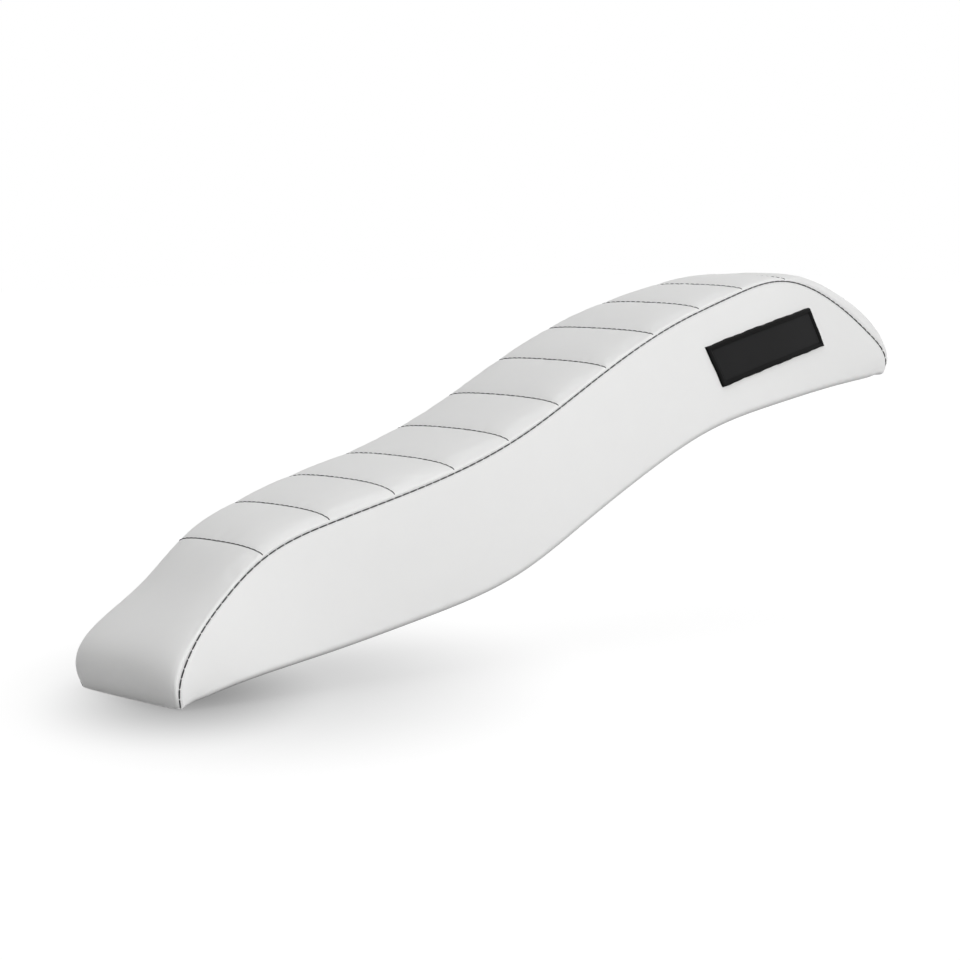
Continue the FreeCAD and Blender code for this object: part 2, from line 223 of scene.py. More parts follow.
def distances(points: Array) -> Array:
    """Return the distance walked to each point of some paths, as the running sum of their steps.

    Args:
        points: Points of the paths, with the points of one path and their components as the last two axes.

    Returns:
        Distances from each path's first point.
    """
    steps = np.linalg.norm(np.diff(points, axis=-2), axis=-1)
    return np.concatenate([np.zeros((*steps.shape[:-1], 1)), np.cumsum(steps, axis=-1)], axis=-1)


def read_along(place: Array, places: Array, values: Array) -> Array:
    """Return rows of three numbers, read between known places in proportion."""
    return np.stack([np.interp(place, places, values[:, axis]) for axis in range(3)], axis=-1)


def between(places: Array, stride: int) -> Array:
    """Return the weights that read every place from each few of them, in proportion.

    Args:
        places: Rising places.
        stride: Number of steps from one known place to the next.

    Returns:
        Weights, places x known places.
    """
    known = places[::stride]
    return np.stack([np.interp(places, known, share) for share in np.eye(len(known))], axis=1)


def up_from(travel: Array) -> Array:
    """Return the upward normals (-z, 0, x) of directions of travel (x, y, z), at length one."""
    return unit(travel[:, [2, 1, 0]] * np.array([-1.0, 0.0, 1.0]))


def put_in_scene(name: str, data: bpy.types.ID) -> Piece:
    """Make an object and link it to the scene.

    Args:
        name: Name of the object.
        data: Its mesh, camera or lamp.

    Returns:
        The new object.
    """
    made = bpy.data.objects.new(name, data)
    bpy.context.scene.collection.objects.link(made)
    return made


@dataclass
class SmoothLine:
    """A cubic line through named points, walked by its length.

    With chord lengths h and slopes d of the gaps, the travel m at each inner point solves
    m[i-1] / h[i-1] + 2 m[i] (1 / h[i-1] + 1 / h[i]) + m[i+1] / h[i] = 3 (d[i-1] / h[i-1] + d[i] / h[i]).
    The two end travels are those of the cubic through the four nearest points.
    """

    points: dict[str, Point]
    steps: int = 6000
    knots: Array = field(init=False)
    places: Array = field(init=False)
    travels: Array = field(init=False)
    walk: Array = field(init=False)
    run: Array = field(init=False)

    def __post_init__(self) -> None:
        """Solve the travels and measure the line."""
        self.knots = np.array(list(self.points.values()))
        self.places = distances(self.knots)
        self.travels = self._solve_travels(np.diff(self.places))
        self.walk = np.linspace(0.0, self.places[-1], self.steps)
        self.run = distances(self._value(self.walk))

    @property
    def length(self) -> float:
        """Return the line's whole length."""
        return float(self.run[-1])

    def _solve_travels(self, gaps: Array) -> Array:
        """Solve the travel at every point.

        Args:
            gaps: Chord lengths between the points.

        Returns:
            Travels, n x 3.
        """
        count = len(self.knots)
        slopes = np.diff(self.knots, axis=0) / gaps[:, None]
        matrix = np.zeros((count, count))
        wanted = np.zeros((count, 3))
        inner = np.arange(1, count - 1)
        matrix[inner, inner - 1] = 1.0 / gaps[:-1]
        matrix[inner, inner] = 2.0 / gaps[:-1] + 2.0 / gaps[1:]
        matrix[inner, inner + 1] = 1.0 / gaps[1:]
        wanted[1:-1] = 3.0 * (slopes[:-1] / gaps[:-1, None] + slopes[1:] / gaps[1:, None])
        for end, near in ((0, slice(0, 4)), (-1, slice(-4, None))):
            matrix[end, end] = 1.0
            wanted[end] = np.polyfit(self.places[near] - self.places[end], self.knots[near], 3)[2]
        return np.linalg.solve(matrix, wanted)

    def _gap_and_share(self, walk: Array) -> tuple[Array, Array, Array]:
        """Find the gap in which each place lies.

        Args:
            walk: Places, as summed chord lengths.

        Returns:
            Each place's gap, its share of that gap and the gap's length.
        """
        gap = np.clip(np.searchsorted(self.places, walk, side="right") - 1, 0, len(self.places) - 2)
        length = self.places[gap + 1] - self.places[gap]
        return gap, ((walk - self.places[gap]) / length)[:, None], length[:, None]

    def _value(self, walk: Array) -> Array:
        """Return the points at some places, by the cubic Hermite form.

        Args:
            walk: Places, as summed chord lengths.

        Returns:
            Points, n x 3.
        """
        gap, t, length = self._gap_and_share(walk)
        start = (1.0 + 2.0 * t) * (1.0 - t) ** 2 * self.knots[gap]
        stop = t * t * (3.0 - 2.0 * t) * self.knots[gap + 1]
        bend = t * (1.0 - t) ** 2 * self.travels[gap] - t * t * (1.0 - t) * self.travels[gap + 1]
        return start + stop + length * bend

    def _travel(self, walk: Array) -> Array:
        """Return the directions of travel at some places, by the derivative of the cubic Hermite form.

        Args:
            walk: Places, as summed chord lengths.

        Returns:
            Directions, n x 3, not scaled to one.
        """
        gap, t, length = self._gap_and_share(walk)
        step = (self.knots[gap + 1] - self.knots[gap]) / length
        bend = (1.0 - t) * (1.0 - 3.0 * t) * self.travels[gap] + t * (3.0 * t - 2.0) * self.travels[gap + 1]
        return 6.0 * t * (1.0 - t) * step + bend

    def at(self, run: Array) -> tuple[Array, Array]:
        """Return the points and the directions of travel at some distances along the line.

        Args:
            run: Distances from the line's start.

        Returns:
            Points and unit directions, each an array of n x 3.
        """
        walk = np.interp(run, self.run, self.walk)
        return self._value(walk), unit(self._travel(walk))


@dataclass
class Sections:
    """Cross-section planes of the seat, one a row.

    The seam's and the hem's points lie in the seat's middle plane. From the hem to the seam runs up, and out
    is the top panel's normal, square to its travel. The two half widths are measured across the seat.
    """

    seam: Array
    low: Array
    up: Array
    out: Array
    travel: Array
    height: Array
    seam_half: Array
    hem_half: Array


@dataclass
class SeatForm:
    """The shape that every cover piece shares."""

    seam: SmoothLine
    hem: SmoothLine
    padding: SmoothLine
    mount_place: float = 0.470
    mount_lift: float = 0.0025
    side_bulge: float = 0.0015
    hem_hang: float = 0.0029
    hem_share: float = 0.12
    crown_power: float = 2.5
    nose_power: float = 3.7
    nose_reach: float = 0.09
    puff_height: float = 0.0021
    puff_spread: float = 0.07
    puff_turn: float = 2.4
    puff_start: float = 0.7
    first_groove: float = 0.45
    air_room: float = 0.0005
    end_reach: float = 0.034
    pillow_rise: float = 2.4
    pillow_round: float = 1.5
    pleat_first: float = 0.120
    pleat_pitch: float = 0.051
    pleat_seams: int = 11
    tip_guard: float = 2e-5

    @property
    def shift(self) -> Array:
        """Find the part frame's origin, a little above the hem line at the mount.

        Returns:
            The origin, measured from the foot of the nose.
        """
        points = self.hem.at(self.hem.run)[0]
        height = np.interp(self.mount_place, points[:, 0], points[:, 2])
        return np.array([self.mount_place, 0.0, height + self.mount_lift])

    @property
    def pleats(self) -> Array:
        """Return the distances of the pleat seams along the seam line."""
        return self.pleat_first + self.pleat_pitch * np.arange(self.pleat_seams)

    def sections(self, run: Array) -> Sections:
        """Return the cross-section planes at some distances along the seam line.

        Args:
            run: Distances from the seam line's start.

        Returns:
            One plane for each distance.
        """
        share = np.clip(run / self.seam.length, self.tip_guard, 1.0 - self.tip_guard)
        top, travel = self.seam.at(share * self.seam.length)
        low, _ = self.hem.at(share * self.hem.length)
        travel = unit(travel * FLAT)
        rise = (top - low) * FLAT
        height = np.linalg.norm(rise, axis=1)
        up = rise / height[:, None]
        return Sections(top * FLAT, low * FLAT, up, up_from(travel), travel, height, top[:, 1], low[:, 1])

    def flared(self, seam_half: Array, hem_half: Array, share: Array) -> Array:
        """Return the side's half widths at height shares q, hem + (seam - hem) q + 4 bulge q (1 - q)."""
        return hem_half + (seam_half - hem_half) * share + 4.0 * self.side_bulge * share * (1.0 - share)

    def side_half(self, plane: Sections, share: Array) -> Array:
        """Return half widths of the side for each plane, at shares of its height given as rows x columns."""
        return self.flared(plane.seam_half[:, None], plane.hem_half[:, None], share)

    def hang(self, plane: Sections) -> Array:
        """Return how far the cover's doubled edge hangs below the hem line, less where the seat is thin."""
        return np.minimum(self.hem_hang, self.hem_share * plane.height)

    def pillow(self, distance: Array, reach: Array | float) -> Array:
        """Return how full the padding is at a distance from a sewn row, (1 - (1 - q)^n)^(1 / m).

        Args:
            distance: Distances from the row.
            reach: Distance at which the padding is full, where q is 1.

        Returns:
            Shares from 0 to 1.
        """
        share = np.clip(distance / reach, 0.0, 1.0)
        return (1.0 - (1.0 - share) ** self.pillow_rise) ** (1.0 / self.pillow_round)

    def pleat_gap(self, run: Array) -> tuple[Array, Array]:
        """Return the distance to the nearest pleat seam, and that seam's number, for each place."""
        nearest = np.clip(np.rint((run - self.pleat_first) / self.pleat_pitch), 0, self.pleat_seams - 1)
        return np.abs(run - self.pleats[nearest.astype(int)]), nearest.astype(int)

    def crown(self, run: Array) -> Array:
        """Return the height of the top panel over the seam line's plane, midway across the seat.

        Args:
            run: Distances along the seam line.

        Returns:
            Heights: the padding's full height, less a groove at every pleat seam, and less room for air.
        """
        line = self.padding.at(self.padding.run)[0]
        full = np.interp(run, line[:, 0], line[:, 2])
        gap, number = self.pleat_gap(run)
        inside = (run >= self.pleats[0]) & (run <= self.pleats[-1])
        empty = 1.0 - self.pillow(gap, np.where(inside, self.pleat_pitch / 2.0, self.end_reach))
        uneven = np.sin(self.puff_turn * number + self.puff_start)
        groove = self.puff_height * (1.0 + self.puff_spread * uneven)
        groove = np.where(number == 0, self.first_groove * groove, groove)
        return full - groove * empty - self.air_room * (1.0 - empty)

    def crown_share(self, across: Array, run: Array) -> Array:
        """Return the share of the crown at a place across the seat.

        Args:
            across: Places from -1 to 1, of a shape that goes with the distances'.
            run: Distances along the seam line.

        Returns:
            Shares (1 - |a|^p)^(1 / p), with a power p that is highest at the nose, where it is flattest.
        """
        power = self.nose_power + (self.crown_power - self.nose_power) * ease(run, 0.0, self.nose_reach)
        return np.maximum(0.0, 1.0 - np.abs(across) ** power) ** (1.0 / power)

    def placed(self, points: Array) -> Array:
        """Return points moved from the foot of the nose to the part frame."""
        return points - self.shift


@dataclass
class Surface:
    """A grid mesh that is ready to become a Blender piece."""

    name: str
    vertices: Array
    quads: Array
    marks: dict[str, Array] = field(default_factory=dict)

    @staticmethod
    def grid_quads(rows: int, columns: int, start: int = 0, closed: bool = False) -> Array:
        """Return the corner numbers of a grid's faces.

        Args:
            rows: Number of rows of points.
            columns: Number of points in a row.
            start: Number of the first point.
            closed: Whether each row's last point joins its first.

        Returns:
            Array of faces x 4.
        """
        row = np.arange(rows - 1)[:, None]
        column = np.arange(columns if closed else columns - 1)[None, :]
        after = (column + 1) % columns
        corners = (
            row * columns + column,
            (row + 1) * columns + column,
            (row + 1) * columns + after,
            row * columns + after,
        )
        return start + np.stack(np.broadcast_arrays(*corners), axis=-1).reshape(-1, 4)

    @classmethod
    def shell(cls, name: str, outer: Array, inner: Array) -> Surface:
        """Return a closed skin between an outer and an inner grid of the same size.

        Args:
            name: Name of the piece.
            outer: Outer points, rows x columns x 3, with outward normals by grid_normals.
            inner: Inner points of the same shape.

        Returns:
            The closed surface.
        """
        rows, columns = outer.shape[:2]
        count = rows * columns
        front = cls.grid_quads(rows, columns)
        back = cls.grid_quads(rows, columns, count)[:, ::-1]
        number = np.arange(count).reshape(rows, columns)
        rim = np.concatenate([number[:-1, 0], number[-1, :-1], number[:0:-1, -1], number[0, :0:-1]])
        after = np.roll(rim, -1)
        edge = np.stack([after, rim, rim + count, after + count], axis=1)
        vertices = np.concatenate([outer.reshape(-1, 3), inner.reshape(-1, 3)])
        return cls(name, vertices, np.concatenate([front, back, edge]))

    def to_mesh(self) -> bpy.types.Mesh:
        """Make a smooth Blender mesh of the surface.

        Returns:
            The mesh, with each mark as an attribute of its points.
        """
        mesh = bpy.data.meshes.new(self.name)
        mesh.vertices.add(len(self.vertices))
        mesh.vertices.foreach_set("co", self.vertices.astype(np.float32).ravel())
        mesh.loops.add(self.quads.size)
        mesh.loops.foreach_set("vertex_index", self.quads.astype(np.int32).ravel())
        mesh.polygons.add(len(self.quads))
        mesh.polygons.foreach_set("loop_start", np.arange(0, self.quads.size, 4, dtype=np.int32))
        mesh.polygons.foreach_set("use_smooth", np.ones(len(self.quads), dtype=bool))
        mesh.update(calc_edges=True)
        mesh.validate()
        for mark, values in self.marks.items():
            attribute = mesh.attributes.new(mark, "FLOAT", "POINT")
            attribute.data.foreach_set("value", values.astype(np.float32).ravel())
        return mesh

    def to_object(self, material: Material, slot: Slot, nodes: list[str]) -> Piece:
        """Make the Blender piece, which rides on the seat and stands for its CAD nodes.

        Args:
            material: Finish of the piece.
            slot: The record's material slot; not used.
            nodes: CAD nodes that the piece stands for.

        Returns:
            The new object.
        """
        mesh = self.to_mesh()
        mesh.materials.append(material)
        piece = put_in_scene(self.name, mesh)
        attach(piece, BODY)
        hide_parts(*nodes)
        return piece


@dataclass
class PressurePass:
    """A short cloth simulation: air swells a padded grid between the lines where it is sewn down.

    The cloth is cut a little larger than the grid, so that it puckers beside the held lines. A point that the
    air moves out by m keeps cap tanh(m / cap) of it.
    """

    pressure: float = 12.0
    slack: float = 0.002
    frames: int = 20
    quality: int = 5
    cap: float = 0.0007

    def moves(self, grid: Array, held: Array) -> Array:
        """Return how far each point of a grid moves out along its normal.

        Args:
            grid: Points at rest, rows x columns x 3, with outward normals by grid_normals.
            held: Whether each point is sewn down, rows x columns.

        Returns:
            Moves, rows x columns.
        """
        scene = bpy.context.scene
        mesh = Surface("pressure_pass", grid.reshape(-1, 3), Surface.grid_quads(*held.shape)).to_mesh()
        cloth = put_in_scene("pressure_pass", mesh)
        sewn = cloth.vertex_groups.new(name="sewn")
        sewn.add(np.flatnonzero(held).tolist(), 1.0, "REPLACE")
        air = cloth.modifiers.new("air", "CLOTH")
        air.settings.quality = self.quality
        air.settings.use_pressure = True
        air.settings.uniform_pressure_force = self.pressure
        air.settings.shrink_min = -self.slack
        air.settings.vertex_group_mass = sewn.name
        air.settings.effector_weights.gravity = 0.0
        air.collision_settings.use_collision = False
        air.point_cache.frame_end = self.frames
        for frame in range(1, self.frames + 1):
            scene.frame_set(frame)
        shape = cloth.evaluated_get(bpy.context.evaluated_depsgraph_get()).data
        swollen = np.empty(grid.size, dtype=np.float32)
        shape.vertices.foreach_get("co", swollen)
        bpy.data.objects.remove(cloth)
        bpy.data.meshes.remove(mesh)
        scene.frame_set(1)
        out = np.sum((swollen.reshape(grid.shape) - grid) * grid_normals(grid), axis=2)
        return self.cap * np.tanh(out / self.cap)


@dataclass
class Nodes:
    """A short way to write shader nodes into one tree."""

    tree: NodeTree

    def add(self, kind: str, **settings: object) -> Node:
        """Add one node with its settings.

        Args:
            kind: Blender's name of the node type.
            **settings: Values of the node's own properties.

        Returns:
            The new node.
        """
        node = self.tree.nodes.new(kind)
        for name, value in settings.items():
            setattr(node, name, value)
        return node

    def link(self, source: Socket, target: Socket) -> None:
        """Join an output to an input."""
        self.tree.links.new(source, target)

    def maths(self, operation: str, *values: Socket | float) -> Socket:
        """Add one sum.

        Args:
            operation: Blender's name of the sum.
            *values: Sockets or numbers that go into it.

        Returns:
            The sum's result.
        """
        node = self.add("ShaderNodeMath", operation=operation)
        for socket, value in zip(node.inputs, values):
            if isinstance(value, (int, float)):
                socket.default_value = value
            else:
                self.link(value, socket)
        return node.outputs[0]

    @staticmethod
    def preset(node: Node, values: dict[str, float | tuple[float, ...]]) -> None:
        """Set a node's unlinked inputs by name."""
        for name, value in values.items():
            node.inputs[name].default_value = value

    def group(self, tree: NodeTree, values: dict[str, float]) -> Node:
        """Add a node group.

        Args:
            tree: The group.
            values: Its inputs by name.

        Returns:
            The new node.
        """
        node = self.add("ShaderNodeGroup", node_tree=tree)
        self.preset(node, values)
        return node

    def pattern(self, kind: str, scale: Socket, **settings: object) -> Node:
        """Add a texture that reads Object coordinates.

        Args:
            kind: Blender's name of the texture's node type.
            scale: Output that gives the texture's scale.
            **settings: Values of the node's own properties.

        Returns:
            The new node.
        """
        node = self.add(kind, **settings)
        self.link(self.add("ShaderNodeTexCoord").outputs["Object"], node.inputs["Vector"])
        self.link(scale, node.inputs["Scale"])
        return node


class SkinTexture:
    """Shader node groups that several finishes share, each built once."""

    warp_detail: float = 1.0
    warp_share: float = 0.25
    cell_round: tuple[float, float] = (0.3, 0.2)
    patch_detail: float = 3.0
    patch_depth: tuple[float, float] = (1.2, 0.4)
    crease_power: float = 6.0
    broad_detail: float = 4.0
    broad_roughness: float = 0.6
    sheen_range: tuple[float, float] = (0.3, 0.7)
    plies: float = 3.0
    ply_tone: tuple[float, float] = (0.5, 0.6)

    @staticmethod
    def _new(name: str, inputs: list[str], outputs: list[str]) -> tuple[Nodes, Node, Node]:
        """Start a group.

        Args:
            name: Name of the group.
            inputs: Names of the values that go in.
            outputs: Names of the values that come out.

        Returns:
            The group's nodes, its input node and its output node.
        """
        tree = bpy.data.node_groups.new(name, "ShaderNodeTree")
        for way, sockets in (("INPUT", inputs), ("OUTPUT", outputs)):
            for socket in sockets:
                tree.interface.new_socket(socket, in_out=way, socket_type="NodeSocketFloat")
        nodes = Nodes(tree)
        return nodes, nodes.add("NodeGroupInput"), nodes.add("NodeGroupOutput")

    @classmethod
    @cache
    def pebble(cls) -> NodeTree:
        """Build a pebbled skin: rounded cells between fine creases, with softer and harder patches.

        With d the distance to a cell's edge, the height is the smooth minimum of d and a limit, times the
        slow depth of the patches, plus a little noise. The crease is a power of 1 - d.

        Returns:
            The group, from the scales of its cells and patches to a height and a crease, which finishes use
            for painted shade.
        """
        nodes, given, made = cls._new("pebble_skin", ["Cells", "Patches"], ["Height", "Crease"])
        warp = nodes.pattern("ShaderNodeTexNoise", given.outputs["Cells"])
        nodes.preset(warp, {"Detail": cls.warp_detail})
        cells = nodes.pattern("ShaderNodeTexVoronoi", given.outputs["Cells"], feature="DISTANCE_TO_EDGE")
        rounded = nodes.maths("SMOOTH_MIN", cells.outputs["Distance"], *cls.cell_round)
        patches = nodes.pattern("ShaderNodeTexNoise", given.outputs["Patches"])
        nodes.preset(patches, {"Detail": cls.patch_detail})
        depth = nodes.maths("MULTIPLY_ADD", patches.outputs["Fac"], *cls.patch_depth)
        grain = nodes.maths("MULTIPLY", rounded, depth)
        height = nodes.maths("MULTIPLY_ADD", warp.outputs["Fac"], cls.warp_share, grain)
        nodes.link(height, made.inputs["Height"])
        crease = nodes.maths("SUBTRACT", 1.0, nodes.maths("MINIMUM", cells.outputs["Distance"], 1.0))
        nodes.link(nodes.maths("POWER", crease, cls.crease_power), made.inputs["Crease"])
        return nodes.tree

    @classmethod
    @cache
    def handling(cls) -> NodeTree:
        """Build the slow change of sheen and tone that handling and dust leave, from one broad noise.

        Returns:
            The group, from the scale of its spread to a sheen around zero and a tone around one half.
        """
        nodes, given, made = cls._new("handling_marks", ["Spread"], ["Sheen", "Tone"])
        broad = nodes.pattern("ShaderNodeTexNoise", given.outputs["Spread"])
        nodes.preset(broad, {"Detail": cls.broad_detail, "Roughness": cls.broad_roughness})
        low, high = cls.sheen_range
        sheen = nodes.add("ShaderNodeMapRange")
        nodes.preset(sheen, {"From Min": low, "From Max": high, "To Min": -1.0})
        nodes.link(broad.outputs["Fac"], sheen.inputs["Value"])
        nodes.link(sheen.outputs["Result"], made.inputs["Sheen"])
        nodes.link(broad.outputs["Fac"], made.inputs["Tone"])
        return nodes.tree

    @classmethod
    @cache
    def twist(cls) -> NodeTree:
        """Build the plies of a twisted thread, a sine of its turns along it plus its plies around it.

        Returns:
            The group, from the number of turns to a height and a tone that follows it: painted light on the
            plies' crowns and painted shade between them.
        """
        nodes, given, made = cls._new("twisted_plies", ["Turns"], ["Height", "Tone"])
        along = nodes.add("ShaderNodeAttribute", attribute_name="along")
        around = nodes.add("ShaderNodeAttribute", attribute_name="around")
        turn = nodes.maths("MULTIPLY", along.outputs["Fac"], given.outputs["Turns"])
        phase = nodes.maths("MULTIPLY_ADD", around.outputs["Fac"], cls.plies, turn)
        wave = nodes.maths("SINE", nodes.maths("MULTIPLY", phase, math.tau))
        height = nodes.maths("MULTIPLY_ADD", wave, 0.5, 0.5)
        nodes.link(height, made.inputs["Height"])
        # The tone follows the height: painted light on the crowns of the plies, painted shade between them.
        nodes.link(nodes.maths("MULTIPLY_ADD", height, *cls.ply_tone), made.inputs["Tone"])
        return nodes.tree


@dataclass(frozen=True)
class Finish:
    """A material: its own colour, sheen and surface grain."""

    name: str
    colour: Colour
    roughness: float
    metallic: float = 0.0
    specular: float = 0.5
    sheen_change: float = 0.05
    tone_change: float = 0.06
    spread: float = 40.0

    @property
    def solid_colour(self) -> tuple[float, ...]:
        """Return the colour with nothing seen through it."""
        return (*self.colour, 1.0)

    def _base(self) -> tuple[Nodes, Node, Node]:
        """Start the material.

        Returns:
            Its nodes, its surface shader and its handling marks.
        """
        material = bpy.data.materials.new(self.name)
        material.use_nodes = True
        material.diffuse_color = self.solid_colour
        nodes = Nodes(material.node_tree)
        surface = material.node_tree.nodes["Principled BSDF"]
        nodes.preset(surface, {"Base Color": self.solid_colour, "Metallic": self.metallic})
        nodes.preset(surface, {"Specular IOR Level": self.specular})
        marks = nodes.group(SkinTexture.handling(), {"Spread": self.spread})
        rough = nodes.maths("MULTIPLY_ADD", marks.outputs["Sheen"], self.sheen_change, self.roughness)
        nodes.link(rough, surface.inputs["Roughness"])
        return nodes, surface, marks

    def _tint(self, nodes: Nodes, surface: Node, tone: Socket) -> None:
        """Darken and lighten the base colour, colour (1 + change (tone - 1/2)).

        Args:
            nodes: The material's nodes.
            surface: Its surface shader.
            tone: A tone that lies around one half.
        """
        shade = nodes.maths("MULTIPLY_ADD", tone, self.tone_change, 1.0 - self.tone_change / 2.0)
        mix = nodes.add("ShaderNodeMix", data_type="RGBA", blend_type="MULTIPLY")
        nodes.preset(mix, {"Factor": 1.0, "A": self.solid_colour})
        nodes.link(shade, mix.inputs["B"])
        nodes.link(mix.outputs["Result"], surface.inputs["Base Color"])

    @staticmethod
    def _bump(nodes: Nodes, surface: Node, height: Socket, depth: float) -> None:
        """Raise the surface by a height.

        Args:
            nodes: The material's nodes.
            surface: Its surface shader.
            height: Height of the grain.
            depth: What a height of one stands for, in metres.
        """
        bump = nodes.add("ShaderNodeBump")
        nodes.preset(bump, {"Distance": depth})
        nodes.link(height, bump.inputs["Height"])
        nodes.link(bump.outputs["Normal"], surface.inputs["Normal"])

    def build(self) -> Material:
        """Make the plain finish.

        Returns:
            The finished material.
        """
        nodes, surface, marks = self._base()
        self._tint(nodes, surface, marks.outputs["Tone"])
        return bpy.data.materials[self.name]


@dataclass(frozen=True)
class SkinFinish(Finish):
    """A moulded or coated skin with a pebbled grain, darkened where the piece has a border mark and, as
    painted shade, in its creases.
    """

    cell: float = 0.0008
    patch: float = 0.02
    depth: float = 0.00004
    crease_tone: float = 0.0
    border_tone: float = 0.0

    def build(self) -> Material:
        """Make the skin. Creases and the border mark take their share off the tone of the handling marks:
        painted shade in the creases and on the side panels' roll, and on the patch a darker rolled border
        with painted shade in its groove.

        Returns:
            The finished material.
        """
        nodes, surface, marks = self._base()
        skin = nodes.group(SkinTexture.pebble(), {"Cells": 1.0 / self.cell, "Patches": 1.0 / self.patch})
        # The border mark: painted shade along the side panels' roll; on the patch, its darker rolled border
        # with painted shade in the groove.
        border = nodes.add("ShaderNodeAttribute", attribute_name="border")
        tone = marks.outputs["Tone"]
        # Painted shade in the grain's creases.
        tone = nodes.maths("MULTIPLY_ADD", skin.outputs["Crease"], -self.crease_tone, tone)
        tone = nodes.maths("MULTIPLY_ADD", border.outputs["Fac"], -self.border_tone / self.tone_change, tone)
        self._tint(nodes, surface, tone)
        self._bump(nodes, surface, skin.outputs["Height"], self.depth)
        return bpy.data.materials[self.name]


@dataclass(frozen=True)
class ThreadFinish(Finish):
    """A twisted sewing thread."""

    turns: float = 3.0
    depth: float = 0.00012

    def build(self) -> Material:
        """Make the thread, whose plies give its height and its painted light and shade.

        Returns:
            The finished material.
        """
        nodes, surface, _ = self._base()
        plies = nodes.group(SkinTexture.twist(), {"Turns": self.turns})
        self._tint(nodes, surface, plies.outputs["Tone"])
        self._bump(nodes, surface, plies.outputs["Height"], self.depth)
        return bpy.data.materials[self.name]


@dataclass(frozen=True)
class Finishes:
    """Every finish of the seat."""

    # On the vinyl the border mark is painted shade along the side panels' roll.
    vinyl: Finish = SkinFinish(
        "white_vinyl", (0.80, 0.80, 0.795), 0.5, specular=0.25, cell=0.0009, depth=0.00003,
        tone_change=0.03, border_tone=0.64,
    )
    thread: Finish = ThreadFinish("dark_thread", (0.03, 0.03, 0.032), 0.7, tone_change=0.6)
    patch: Finish = SkinFinish(
        "black_patch", (0.0102, 0.0102, 0.0106), 0.6, specular=0.09, cell=0.0007, depth=0.00005,
        tone_change=1.0, border_tone=0.9,
    )
    plastic: Finish = SkinFinish("black_plastic", (0.018, 0.018, 0.019), 0.5, cell=0.0006, depth=0.00005)
    # The foam's darker creases are painted shade.
    foam: Finish = SkinFinish(
        "cream_foam", (0.60, 0.49, 0.27), 0.95, cell=0.0016, depth=0.0005, crease_tone=0.6,
    )
    rubber: Finish = SkinFinish("black_rubber", (0.013, 0.013, 0.014), 0.78, cell=0.0004, depth=0.00003)
    brass: Finish = Finish("turned_brass", (0.72, 0.52, 0.24), 0.3, metallic=1.0, sheen_change=0.08)
    steel: Finish = Finish("bright_steel", (0.62, 0.62, 0.63), 0.33, metallic=1.0, sheen_change=0.08)


